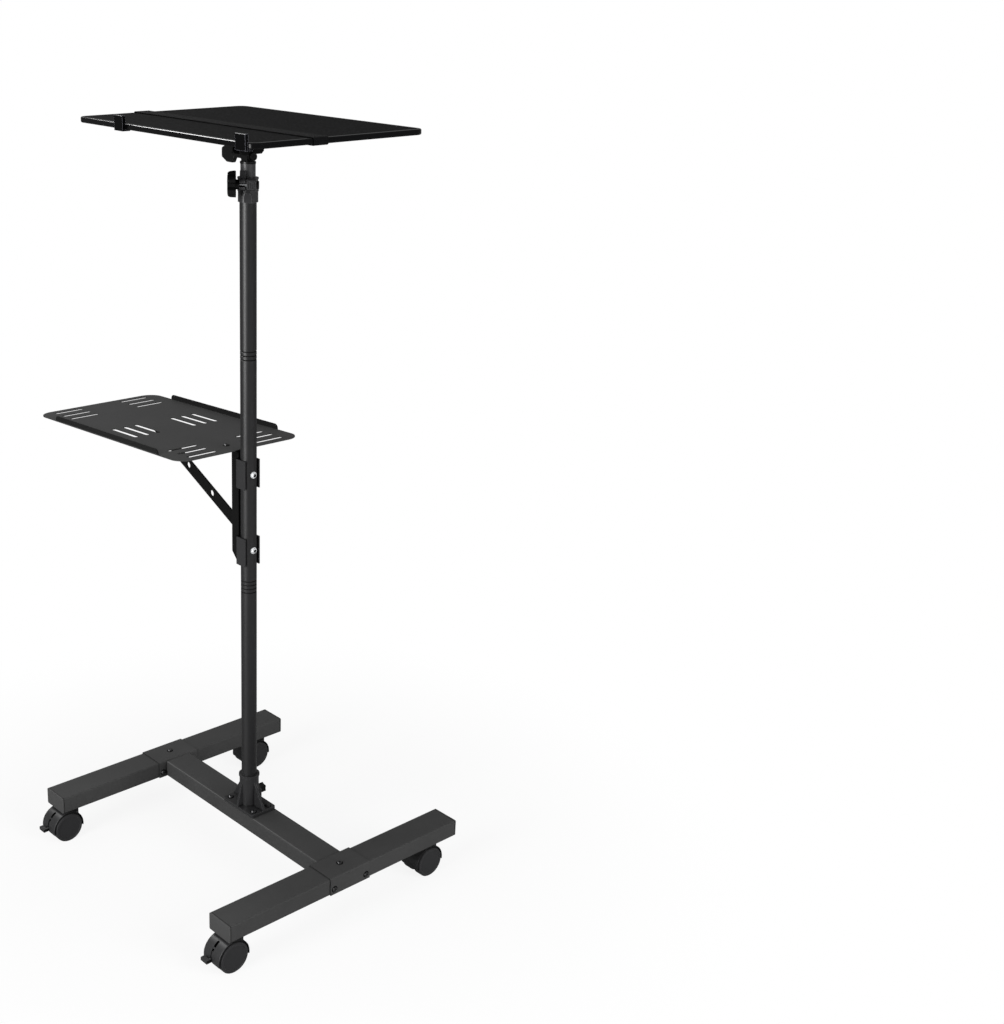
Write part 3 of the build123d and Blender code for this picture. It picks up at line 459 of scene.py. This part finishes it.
def soften_group():
    """A modifier tree that joins split corners and shades gentle folds smooth."""
    tree = bpy.data.node_groups.get("soften")
    if tree:
        return tree
    tree = bpy.data.node_groups.new("soften", "GeometryNodeTree")
    tree.interface.new_socket("Geometry", in_out="INPUT", socket_type="NodeSocketGeometry")
    tree.interface.new_socket("Geometry", in_out="OUTPUT", socket_type="NodeSocketGeometry")
    shape = add_node(tree, "NodeGroupInput").outputs["Geometry"]
    angle = add_node(tree, "GeometryNodeInputMeshEdgeAngle").outputs["Unsigned Angle"]
    limit = {0: angle, 1: SMOOTH_FOLD}
    gentle = add_node(tree, "FunctionNodeCompare", limit, data_type="FLOAT", operation="LESS_EQUAL")
    steps = (
        ("GeometryNodeRemoveAttribute", {"Name": "custom_normal"}, {}),
        ("GeometryNodeMergeByDistance", {"Distance": 1e-6}, {}),
        ("GeometryNodeSetShadeSmooth", {}, {"domain": "FACE"}),
        ("GeometryNodeSetShadeSmooth", {"Shade Smooth": gentle.outputs["Result"]}, {"domain": "EDGE"}),
    )
    for kind, inputs, settings in steps:
        shape = add_node(tree, kind, {"Geometry": shape, **inputs}, **settings).outputs["Geometry"]
    add_node(tree, "NodeGroupOutput", {"Geometry": shape})
    return tree


def dress(names, material):
    """Give pieces of the frame a finish in place of their flat colour, and smooth shading."""
    for name in names:
        piece = NODES[name]
        piece.data.materials.clear()
        piece.data.materials.append(material)
        piece.modifiers.new("soften", "NODES").node_group = soften_group()


CORNERS = [f"{place}_{end}" for place in ("near", "far") for end in ("left", "right")]
# A band this wide at each end of a foot is painted dark, as the shadow in the seam where its cap meets it.
CAP_SEAM_SHADOW = 1.6 * MM
CLAMP_BOLT_RADIUS = 3.1 * MM


class StandOperator:
    """What the stand's operators share: they can be undone."""

    bl_options = {"REGISTER", "UNDO"}


class STAND_OT_steel(StandOperator, bpy.types.Operator):
    """Powder-coat the base, the shelf with its bracket and brace, and the tilt bracket"""

    bl_idname = "stand.steel"
    bl_label = "Coated steel"

    def execute(self, context):
        tone = colours()
        base = powder_coated_steel("powder_coated_steel", tone.frame_coat)
        dress(["near_saddle", "far_saddle", "cross_beam"], base)
        feet = powder_coated_steel("powder_coated_tube", tone.frame_coat)
        foot_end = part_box("near_foot")[1][0]
        painted_shade_and_light_beyond(feet, tone.painted_shade_coat, foot_end - CAP_SEAM_SHADOW, (1, 0, 0), both=True)
        dress(["near_foot", "far_foot"], feet)
        shelf = powder_coated_steel("powder_coated_sheet", tone.frame_coat, edge_highlight_gain=0.7)
        # The lips, which stand above the shelf's face, are painted black as the shade they stand in.
        painted_shade_and_light_beyond(shelf, tone.painted_shade_coat, shelf_point(0, 0).dot(SHELF_UP), SHELF_UP)
        dress(["shelf"], shelf)
        # The brace and the tilt bracket are painted near-black as the shade under the shelf and the tray.
        strip = powder_coated_steel("shade_darkened_steel", tone.painted_shade_coat, level=0.12, edge_highlight_gain=3.0)
        matt_underside(strip)
        dress(["shelf_brace", "tilt_bracket"], strip)
        bracket = powder_coated_steel("shade_darkened_bracket", tone.painted_shade_coat, level=0.12, edge_highlight_gain=3.0)
        # The ears are what lies beside the post, from its shelf side on, painted paler as the light they
        # catch.
        painted_shade_and_light_beyond(bracket, tone.lit_ear_coat, -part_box("middle_tube")[1][1], (0, -1, 0))
        dress(["shelf_bracket"], bracket)
        return {"FINISHED"}


class STAND_OT_post(StandOperator, bpy.types.Operator):
    """Coat the three tubes of the post, with their rolled rings, and the mast"""

    bl_idname = "stand.post"
    bl_label = "Post and mast"

    def execute(self, context):
        post = satin_coated_tube("satin_coated_tube", colours().post_coat)
        shade_ring_grooves(post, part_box("middle_tube")[1][0])
        dress(["lower_tube", "middle_tube", "upper_tube"], post)
        dress(["inner_tube"], satin_coated_tube("satin_coated_mast", colours().mast_coat))
        return {"FINISHED"}


class STAND_OT_fittings(StandOperator, bpy.types.Operator):
    """Finish the moulded fittings: end caps, socket, collar, knobs, head and rim stops"""

    bl_idname = "stand.fittings"
    bl_label = "Moulded fittings"

    def execute(self, context):
        tone = colours()
        black = moulded_plastic("moulded_nylon", tone.moulded, rough=(0.26, 0.38), edge_highlight_gain=9.0, level=0.4)
        dress(["socket_bolt", "pole_head", "tilt_knob"], black)
        collar = moulded_plastic("moulded_collar", tone.collar, rough=(0.26, 0.38), edge_highlight_gain=4.0, level=0.4)
        dress(["height_collar"], collar)
        knob = moulded_plastic("moulded_nylon_on_steel", tone.moulded, rough=(0.22, 0.34))
        bolt_core(knob, *joint("collar_knob_turn"), CLAMP_BOLT_RADIUS)
        dress(["collar_knob"], knob)
        socket = moulded_plastic("glass_filled_nylon", tone.socket, rough=(0.28, 0.4), edge_highlight_gain=4.0, level=0.5)
        dress(["post_socket"], socket)
        # The stops' edges carry strong painted highlights.
        clip = moulded_plastic("moulded_clip", tone.tray_panel, rough=(0.14, 0.2), edge_highlight_gain=90.0, level=0.1)
        dress(["near_stop", "far_stop"], clip)
        caps = moulded_plastic("moulded_polyethylene", tone.end_cap, rough=(0.45, 0.6), grain_mm=1.0)
        dress([f"{corner}_cap" for corner in CORNERS], caps)
        return {"FINISHED"}


class STAND_OT_tray(StandOperator, bpy.types.Operator):
    """Finish the moulded tray and the foam mat in it"""

    bl_idname = "stand.tray"
    bl_label = "Tray and mat"

    def execute(self, context):
        base = colours().tray_panel
        panel = moulded_plastic("moulded_abs", base, rough=(0.14, 0.2), edge_highlight_gain=2.5, level=0.24, grain_mm=0.8)
        matt_underside(panel)
        dress(["tray"], panel)
        dress(["tray_mat"], foam_grip_mat())
        return {"FINISHED"}


class STAND_OT_casters(StandOperator, bpy.types.Operator):
    """Finish the caster hoods, the brake levers and the wheels"""

    bl_idname = "stand.casters"
    bl_label = "Casters"

    def execute(self, context):
        tone = colours()
        hood = moulded_plastic("caster_nylon", tone.caster_hood, rough=(0.36, 0.52), level=0.4)
        shade_hood_rims(hood)
        dress([f"{corner}_caster" for corner in CORNERS], hood)
        dress(["near_left_brake", "far_left_brake"], hood)
        base = tone.caster_wheel
        wheel = moulded_plastic("caster_wheel_nylon", base, rough=(0.42, 0.58), edge_highlight_gain=3.2, grain_mm=1.1)
        dress([f"{corner}_wheels" for corner in CORNERS], wheel)
        return {"FINISHED"}


# Shapes of the added pieces


def seat(point, outward, turn=0.0):
    """A matrix that stands a shape on a surface point, its Z pointing outward."""
    upright = Vector(outward).to_track_quat("Z", "Y").to_matrix().to_4x4()
    return Matrix.Translation(point) @ upright @ Matrix.Rotation(turn, 4, "Z")


def turned(build, profile, place, steps):
    """Turn a profile of radii and heights round Z, close both ends, and set it in place."""
    rounds = [Vector((math.cos(a), math.sin(a), 0)) for a in (math.tau * k / steps for k in range(steps))]
    rings = []
    for radius, height in profile:
        rise = Vector((0, 0, height))
        rings.append([build.verts.new(place @ (radius * out + rise)) for out in rounds])
    for low, high in zip(rings, rings[1:]):
        for k in range(steps):
            build.faces.new((low[k - 1], low[k], high[k], high[k - 1]))
    build.faces.new(rings[0])
    build.faces.new(rings[-1])


def head_profile(diameter, rise):
    """A domed screw head that starts just under the surface it sits on."""
    radius = diameter / 2
    dome = [(1.0, 0.0), (1.0, 0.3), (0.95, 0.58), (0.82, 0.8), (0.62, 0.94), (0.36, 1.0)]
    return [(radius, -0.3 * MM), *((radius * across, rise * up) for across, up in dome)]


def washer_profile(head, outline):
    """A washer: radii as shares of the head's diameter, and heights in millimetres."""
    return [(head * across, up * MM) for across, up in outline]


def make_object(name, build):
    """Turn a finished mesh into an object of the scene."""
    mesh = bpy.data.meshes.new(name)
    build.to_mesh(mesh)
    build.free()
    thing = bpy.data.objects.new(name, mesh)
    bpy.context.scene.collection.objects.link(thing)
    return thing


def make_piece(name, build, material, body):
    """Turn a finished mesh into a piece that rides on a body."""
    bmesh.ops.recalc_face_normals(build, faces=build.faces[:])
    piece = make_object(name, build)
    piece.data.materials.append(material)
    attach(piece, body)
    return piece


def carve(piece, build):
    """Cut the shapes in a mesh out of a piece for good, and shade what is left."""
    bmesh.ops.recalc_face_normals(build, faces=build.faces[:])
    tool = make_object("cutters", build)
    modifier = piece.modifiers.new("carve", "BOOLEAN")
    modifier.operation, modifier.solver, modifier.object = "DIFFERENCE", "EXACT", tool
    carved = bpy.data.meshes.new_from_object(piece.evaluated_get(bpy.context.evaluated_depsgraph_get()))
    piece.modifiers.clear()
    piece.data = carved
    bpy.data.objects.remove(tool)
    smooth_shade(piece)


def smooth_shade(piece, fold=SMOOTH_FOLD):
    """Shade a piece smooth, with sharp edges where it folds further."""
    piece.data.shade_smooth()
    piece.data.set_sharp_from_angle(angle=fold)


# Where the screws sit on the saddles, the two plates, the shelf and, above its bracket's foot, the post
SADDLE_SCREW_SPREAD = 32 * MM
SADDLE_SCREW_RISE = 9 * MM
SOCKET_PLATE = 5 * MM
SOCKET_SCREW_INSET = (10 * MM, 9 * MM)
TILT_PLATE = 3 * MM
TILT_SCREW_INSET = (9 * MM, 10 * MM)
SHELF_SCREW = (-6 * MM, 49 * MM)
POST_BOLT_RISES = (26 * MM, 149.5 * MM)


def plate_corners(low, high, inset):
    """The four places in from the corners of a plate, in X and Y."""
    across = (low[0] + inset[0], high[0] - inset[0])
    along = (low[1] + inset[1], high[1] - inset[1])
    return [(x, y) for x in across for y in along]


class STAND_OT_screws(StandOperator, bpy.types.Operator):
    """Drive the cross-head screws of the base, shelf and tray and the bright bolts in the post"""

    bl_idname = "stand.screws"
    bl_label = "Screws"

    def execute(self, context):
        tone = colours()
        steel = plated_steel("blackened_steel", tone.black_steel, rough=(0.28, 0.42), metal=0.9)
        zinc = plated_steel("zinc_plated_steel", tone.zinc, rough=(0.16, 0.26), metal=0.45)
        dark = moulded_plastic("fibre_washer_and_socket_shadow", tone.tray_panel, rough=(0.6, 0.7), level=0.05, grain_mm=0.6)
        self.cross_heads("base_screws", self.base_seats(), "base", steel, dark)
        self.cross_heads("tray_screws", self.tray_seats(), "tray", steel, dark)
        self.button_heads(zinc, dark)
        return {"FINISHED"}

    def base_seats(self):
        """Where screws sit on the saddles, the socket's plate and the shelf, and which way each looks."""
        seats = []
        for place in ("near", "far"):
            low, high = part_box(f"{place}_saddle")
            seats.append((Vector((0, (low[1] + high[1]) / 2, high[2])), (0, 0, 1)))
            for x in (-SADDLE_SCREW_SPREAD, SADDLE_SCREW_SPREAD):
                for face, way in ((low[1], -1), (high[1], 1)):
                    seats.append((Vector((x, face, low[2] + SADDLE_SCREW_RISE)), (0, way, 0)))
        low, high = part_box("post_socket")
        for x, y in plate_corners(low, high, SOCKET_SCREW_INSET):
            seats.append((Vector((x, y, low[2] + SOCKET_PLATE)), (0, 0, 1)))
        seats.append((shelf_point(*SHELF_SCREW), SHELF_UP))
        return seats

    def tray_seats(self):
        """Where screws hold the tilt bracket's plate up to the tray."""
        low, high = level_box("tilt_bracket")
        under = high.z - TILT_PLATE
        corners = plate_corners(low, high, TILT_SCREW_INSET)
        return [(TRAY_FRAME @ Vector((x, y, under)), -TRAY_UP) for x, y in corners]

    def cross_heads(self, name, seats, body, steel, dark):
        """Pan heads with a tapered cross recess, each turned its own way on a thin dark washer."""
        head, rise = sizes().pan_head, sizes().pan_rise
        washer = washer_profile(head, ((0.66, -0.3), (0.66, 0.35), (0.3, 0.4)))
        heads, crosses, washers = (bmesh.new() for part in range(3))
        for count, (point, outward) in enumerate(seats):
            place = seat(point, outward, turn=count * 1.1)
            turned(heads, head_profile(head, rise), place, steps=28)
            self.cross_cutter(crosses, place, arm=head * 0.31, half=head * 0.08, rise=rise)
            turned(washers, washer, place, steps=28)
        carve(make_piece(name, heads, steel, body), crosses)
        smooth_shade(make_piece(f"{name}_washers", washers, dark, body))

    def cross_cutter(self, build, place, arm, half, rise):
        """A plus-shaped plug that narrows downward, for a cross recess."""
        levels = []
        for height, share in ((rise * 0.35, 0.5), (rise * 1.3, 1.0)):
            quarter = [(half, -half), (arm * share, -half), (arm * share, half)]
            ring = []
            for turn in range(4):
                spin = place @ Matrix.Rotation(turn * math.pi / 2, 4, "Z")
                ring += [build.verts.new(spin @ Vector((x, y, height))) for x, y in quarter]
            levels.append(ring)
        low, high = levels
        for k in range(len(low)):
            build.faces.new((low[k - 1], low[k], high[k], high[k - 1]))
        build.faces.new(low)
        build.faces.new(high)

    def button_heads(self, material, dark):
        """Domed socket heads with a washer, in the post's near side at the middle of each bracket clip."""
        head, rise = sizes().button_head, sizes().button_rise
        hexagon = head * 0.34
        washer = washer_profile(head, ((0.62, -0.6), (0.62, 0.5), (0.58, 0.8), (0.2, 0.8)))
        heads, sockets, shadows, washers = (bmesh.new() for part in range(4))
        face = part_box("middle_tube")[0][1]
        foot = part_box("shelf_bracket")[0][2]
        for bolt_rise in POST_BOLT_RISES:
            place = seat(Vector((0, face, foot + bolt_rise)), (0, -1, 0), turn=0.2)
            turned(washers, washer, place, steps=36)
            raised = place @ Matrix.Translation((0, 0, 0.7 * MM))
            turned(heads, head_profile(head, rise), raised, steps=36)
            turned(sockets, [(hexagon, 1.4 * MM), (hexagon, rise * 2)], place, steps=6)
            # A dark disc deep in each hex socket is a painted shadow.
            turned(shadows, [(hexagon, 1.2 * MM), (hexagon, 1.9 * MM)], place, steps=6)
        carve(make_piece("post_bolts", heads, material, "base"), sockets)
        smooth_shade(make_piece("post_bolt_washers", washers, material, "base"))
        make_piece("post_bolt_socket_shadows", shadows, dark, "base")


# How the strap bends, steps and ripples along its way, and how it slopes down to its second layer
STRAP_BEND = 2.75 * MM
STRAP_STEP = 6 * MM
STRAP_RIPPLE = 0.12 * MM
LAYER_GAP = 0.15 * MM
LAP_START = 16 * MM
LAP_SLOPE = 14 * MM
# The sewn boxes: how far in from the selvedge, half their length, and how far from the end of the overlap
SEAM_INSET = 3.5 * MM
SEAM_HALF = 13 * MM
SEAM_END = 4 * MM


class STAND_OT_strap(StandOperator, bpy.types.Operator):
    """Weave the strap round the tray, with its ends sewn one over the other underneath"""

    bl_idname = "stand.strap"
    bl_label = "Strap"

    def execute(self, context):
        low, high = level_box("strap")
        half = sizes().strap_thickness / 2
        middle = (low.x + high.x) / 2
        route = self.route(low, high, half)
        build = bmesh.new()
        length = self.weave(build, route, middle, half)
        build.transform(TRAY_FRAME)
        strap = make_piece("webbing_strap", build, woven_polyester(), "tray")
        smooth_shade(strap, fold=math.radians(50))
        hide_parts("strap")
        sewn = self.stitches(route, middle, half)
        stitches = make_piece("strap_stitches", sewn, spun_thread(), "tray")
        smooth_shade(stitches, fold=math.radians(60))
        return {"FINISHED"}

    def route(self, low, high, half):
        """Points along the strap's middle in Y and Z: from under the tray, round it, and under itself."""
        left, right = low[1] + half + STRAP_BEND, high[1] - half - STRAP_BEND
        floor, roof = low[2] + half, high[2] - half
        lap = sizes().strap_overlap / 2
        points = [(lap - k * STRAP_STEP, floor) for k in range(int((lap - left) / STRAP_STEP))]
        points += self.bend(left, floor + STRAP_BEND, 270)
        points += self.bend(left, roof - STRAP_BEND, 180)
        steps = 60
        for share in (k / steps for k in range(1, steps)):
            ripple = STRAP_RIPPLE * math.sin(share * 23) * math.sin(share * math.pi)
            points.append((left + share * (right - left), roof + ripple))
        points += self.bend(right, roof - STRAP_BEND, 90)
        points += self.bend(right, floor + STRAP_BEND, 0)
        second = floor - 2 * half - LAYER_GAP
        steps = 40
        for k in range(1, steps + 1):
            y = right + (-lap - right) * k / steps
            drop = min(1.0, max(0.0, (lap + LAP_START - y) / LAP_SLOPE))
            smooth = drop * drop * (3 - 2 * drop)
            points.append((y, floor + (second - floor) * smooth))
        return points

    def bend(self, y, z, start):
        """A quarter turn round an edge of the tray, from an angle in degrees."""
        angles = (math.radians(start - k * 15) for k in range(7))
        return [(y + STRAP_BEND * math.cos(a), z + STRAP_BEND * math.sin(a)) for a in angles]

    def weave(self, build, route, middle, half):
        """Sweep a flat section with soft selvedges along the route. Returns the length of the webbing."""
        edge = sizes().strap_width / 2
        upper = [(-edge, 0.0), (-edge + 0.35 * MM, 0.75), (-edge + 1.1 * MM, 1.0), (-edge + 2.2 * MM, 0.86)]
        upper += [(-across, up) for across, up in reversed(upper)]
        section = upper + [(across, -up) for across, up in reversed(upper[1:-1])]
        layer = build.loops.layers.uv.new("weave")
        rings, travelled = [], [0.0]
        for k, (y, z) in enumerate(route):
            before, after = route[max(k - 1, 0)], route[min(k + 1, len(route) - 1)]
            along = Vector((after[0] - before[0], after[1] - before[1])).normalized()
            if k:
                travelled.append(travelled[-1] + (Vector(route[k]) - Vector(route[k - 1])).length)
            outward = Vector((along.y, -along.x))
            rings.append([
                build.verts.new((middle + across, y + outward.x * up * half, z + outward.y * up * half))
                for across, up in section
            ])
        count = len(section)
        for k in range(len(rings) - 1):
            for j in range(count):
                corners = ((k, j), (k, (j + 1) % count), (k + 1, (j + 1) % count), (k + 1, j))
                face = build.faces.new([rings[a][b] for a, b in corners])
                for loop, (a, b) in zip(face.loops, corners):
                    loop[layer].uv = (section[b][0], travelled[a])
        build.faces.new(rings[0])
        build.faces.new(rings[-1])
        return travelled[-1]

    def stitches(self, route, middle, half):
        """A sewn box with a cross in it, over each end of the double part, seen from below."""
        build = bmesh.new()
        pitch = sizes().stitch
        under = min(z for y, z in route) - half
        wide = sizes().strap_width / 2 - SEAM_INSET
        out = sizes().strap_overlap / 2 - SEAM_HALF - SEAM_END
        for end in (-1, 1):
            centre = Vector((middle, end * out, under))
            signs = ((-1, -1), (1, -1), (1, 1), (-1, 1))
            corners = [centre + Vector((x * wide, y * SEAM_HALF, 0)) for x, y in signs]
            runs = [(corners[k - 1], corners[k]) for k in range(4)]
            runs += [(corners[0], corners[2]), (corners[1], corners[3])]
            for start, stop in runs:
                count = round((stop - start).length / pitch)
                for k in range(count):
                    spot = start.lerp(stop, (k + 0.5) / count)
                    self.stitch(build, spot, (stop - start).normalized(), pitch * 0.78)
        build.transform(TRAY_FRAME)
        return build

    def stitch(self, build, spot, along, length):
        """One thread pulled into the webbing: a low spindle."""
        place = seat(spot, along) @ Matrix.Translation((0, 0, -length / 2))
        spindle = [(0.06, 0.0), (0.24, 0.15), (0.3, 0.5), (0.24, 0.85), (0.06, 1.0)]
        turned(build, [(radius * MM, share * length) for radius, share in spindle], place, steps=6)


# Where the camera stood, worked out from the stand's own corners: metres, degrees and pixels
CAMERA_PLACE = Vector((-1.3075, -1.7343, 1.3718))
CAMERA_TURN = -43.20
CAMERA_DIP = 19.44
CAMERA_ROLL = 1.95
FOCAL_PIXELS = 1481.0
CENTRE_PIXEL_X = 400.0
PICTURE = (1004, 1024)
SENSOR = 36.0
# What the world gives to everything but the camera
FILL_LIGHT = 0.2
FLOOR_RADIUS = 4.0


class STAND_OT_stage(StandOperator, bpy.types.Operator):
    """Set up the pale floor, the soft lamps, the white surround and the camera"""

    bl_idname = "stand.stage"
    bl_label = "Studio and camera"

    def execute(self, context):
        scene = context.scene
        scene.view_settings.view_transform = "Standard"
        self.surround(scene)
        self.floor()
        self.lamp(scene, "overhead_softbox", (-1.0, 1.2, 3.2), aim=0.4, size=(2.0, 2.0), watts=8.0)
        self.lamp(scene, "left_softbox", (-2.75, -0.2, 1.1), aim=0.6, size=(1.1, 2.2), watts=80.0)
        front = self.lamp(scene, "front_softbox", (0.6, -2.8, 1.1), aim=0.5, size=(1.6, 2.0), watts=80.0)
        # The front light only fills, so that the round tubes carry one highlight.
        front.visible_glossy = False
        back = self.lamp(scene, "back_softbox", (-0.6, 3.3, 3.7), aim=0.8, size=(2.0, 0.8), watts=150.0)
        # The back light only draws thin lines along edges.
        back.visible_diffuse = False
        self.camera(scene)
        return {"FINISHED"}

    def surround(self, scene):
        """White to the camera and a low even fill to the rest: black coats that mirror white look grey."""
        world = bpy.data.worlds.new("studio_surround")
        scene.world = world
        world.use_nodes = True
        tree = world.node_tree
        seen = add_node(tree, "ShaderNodeLightPath").outputs["Is Camera Ray"]
        level = add_node(tree, "ShaderNodeMapRange", {"Value": seen, "To Min": FILL_LIGHT, "To Max": 1.0})
        background = tree.nodes["Background"]
        background.inputs["Color"].default_value = (1, 1, 1, 1)
        tree.links.new(level.outputs["Result"], background.inputs["Strength"])

    def floor(self):
        """A round pale floor that fades to the white surround away from the stand."""
        build = bmesh.new()
        bmesh.ops.create_circle(build, cap_ends=True, segments=96, radius=FLOOR_RADIUS)
        floor = make_object("studio_floor", build)
        floor.data.materials.append(self.paper())

    def paper(self):
        """Studio paper: matt and white, without a sheen, and holding a soft shadow."""
        material, tree, principled = start_material("studio_paper", Roughness=0.9, Specular_IOR_Level=0.1)
        seen = add_node(tree, "ShaderNodeLightPath").outputs["Is Camera Ray"]
        # The stand sees a grey floor, so that its blacks stay deep. The camera sees a white one.
        dark, pale = opaque(colours().floor_seen_by_stand), opaque(colours().floor)
        tone = add_node(tree, "ShaderNodeMix", {0: seen, 6: dark, 7: pale}, data_type="RGBA")
        tree.links.new(tone.outputs[2], principled.inputs["Base Color"])
        place = add_node(tree, "ShaderNodeTexCoord").outputs["Object"]
        reach = add_node(tree, "ShaderNodeVectorMath", {0: place}, operation="LENGTH").outputs["Value"]
        span = {"Value": reach, "From Min": 0.3, "From Max": 0.9, "To Min": 0.88}
        fade = add_node(tree, "ShaderNodeMapRange", span, interpolation_type="SMOOTHSTEP").outputs["Result"]
        blank = add_node(tree, "ShaderNodeMath", {0: fade, 1: seen}, operation="MULTIPLY").outputs[0]
        white = add_node(tree, "ShaderNodeEmission", {"Color": (1, 1, 1, 1), "Strength": 1.0})
        layers = {0: blank, 1: principled.outputs["BSDF"], 2: white.outputs["Emission"]}
        mixed = add_node(tree, "ShaderNodeMixShader", layers)
        tree.links.new(mixed.outputs["Shader"], tree.nodes["Material Output"].inputs["Surface"])
        return material

    def lamp(self, scene, name, place, aim, size, watts):
        """A rectangular softbox that faces the post's axis at a height."""
        light = bpy.data.lights.new(name, "AREA")
        light.shape = "RECTANGLE"
        light.size, light.size_y = size
        light.energy = watts
        lamp = bpy.data.objects.new(name, light)
        lamp.location = place
        lamp.rotation_euler = (Vector((0, 0, aim)) - Vector(place)).to_track_quat("-Z", "Y").to_euler()
        lamp.visible_camera = False
        scene.collection.objects.link(lamp)
        return lamp

    def camera(self, scene):
        """The photograph's viewpoint."""
        lens = bpy.data.cameras.new("stand_camera")
        lens.sensor_width = SENSOR
        lens.lens = FOCAL_PIXELS * SENSOR / max(PICTURE)
        lens.shift_x = (PICTURE[0] / 2 - CENTRE_PIXEL_X) / max(PICTURE)
        lens.clip_start, lens.clip_end = 0.05, 50.0
        turn, dip, roll = (math.radians(a) for a in (CAMERA_TURN, CAMERA_DIP, CAMERA_ROLL))
        ahead = Vector((-math.sin(turn) * math.cos(dip), math.cos(turn) * math.cos(dip), -math.sin(dip)))
        right = Vector((math.cos(turn), math.sin(turn), 0.0))
        up = right.cross(ahead)
        rolled_right = math.cos(roll) * right + math.sin(roll) * up
        rolled_up = math.cos(roll) * up - math.sin(roll) * right
        axes = Matrix((rolled_right, rolled_up, -ahead)).transposed().to_4x4()
        camera = bpy.data.objects.new("stand_camera", lens)
        camera.matrix_world = Matrix.Translation(CAMERA_PLACE) @ axes
        scene.collection.objects.link(camera)
        scene.camera = camera


OPERATORS = (
    STAND_OT_steel,
    STAND_OT_post,
    STAND_OT_fittings,
    STAND_OT_tray,
    STAND_OT_casters,
    STAND_OT_screws,
    STAND_OT_strap,
    STAND_OT_stage,
)


class STAND_PT_panel(bpy.types.Panel):
    """Lists the dressing steps in order"""

    bl_idname = "STAND_PT_panel"
    bl_label = "Projector stand"
    bl_space_type = "VIEW_3D"
    bl_region_type = "UI"
    bl_category = "Stand"

    def draw(self, context):
        for operator in OPERATORS:
            self.layout.operator(operator.bl_idname)


CLASSES = (StandColours, StandSizes, *OPERATORS, STAND_PT_panel)


def register():
    for cls in CLASSES:
        bpy.utils.register_class(cls)
    bpy.types.Scene.stand_colours = bpy.props.PointerProperty(type=StandColours)
    bpy.types.Scene.stand_sizes = bpy.props.PointerProperty(type=StandSizes)


def unregister():
    del bpy.types.Scene.stand_colours
    del bpy.types.Scene.stand_sizes
    for cls in reversed(CLASSES):
        bpy.utils.unregister_class(cls)


def main():
    register()
    bpy.ops.stand.steel()
    bpy.ops.stand.post()
    bpy.ops.stand.fittings()
    bpy.ops.stand.tray()
    bpy.ops.stand.casters()
    bpy.ops.stand.screws()
    bpy.ops.stand.strap()
    bpy.ops.stand.stage()


if __name__ == "__main__":
    main()
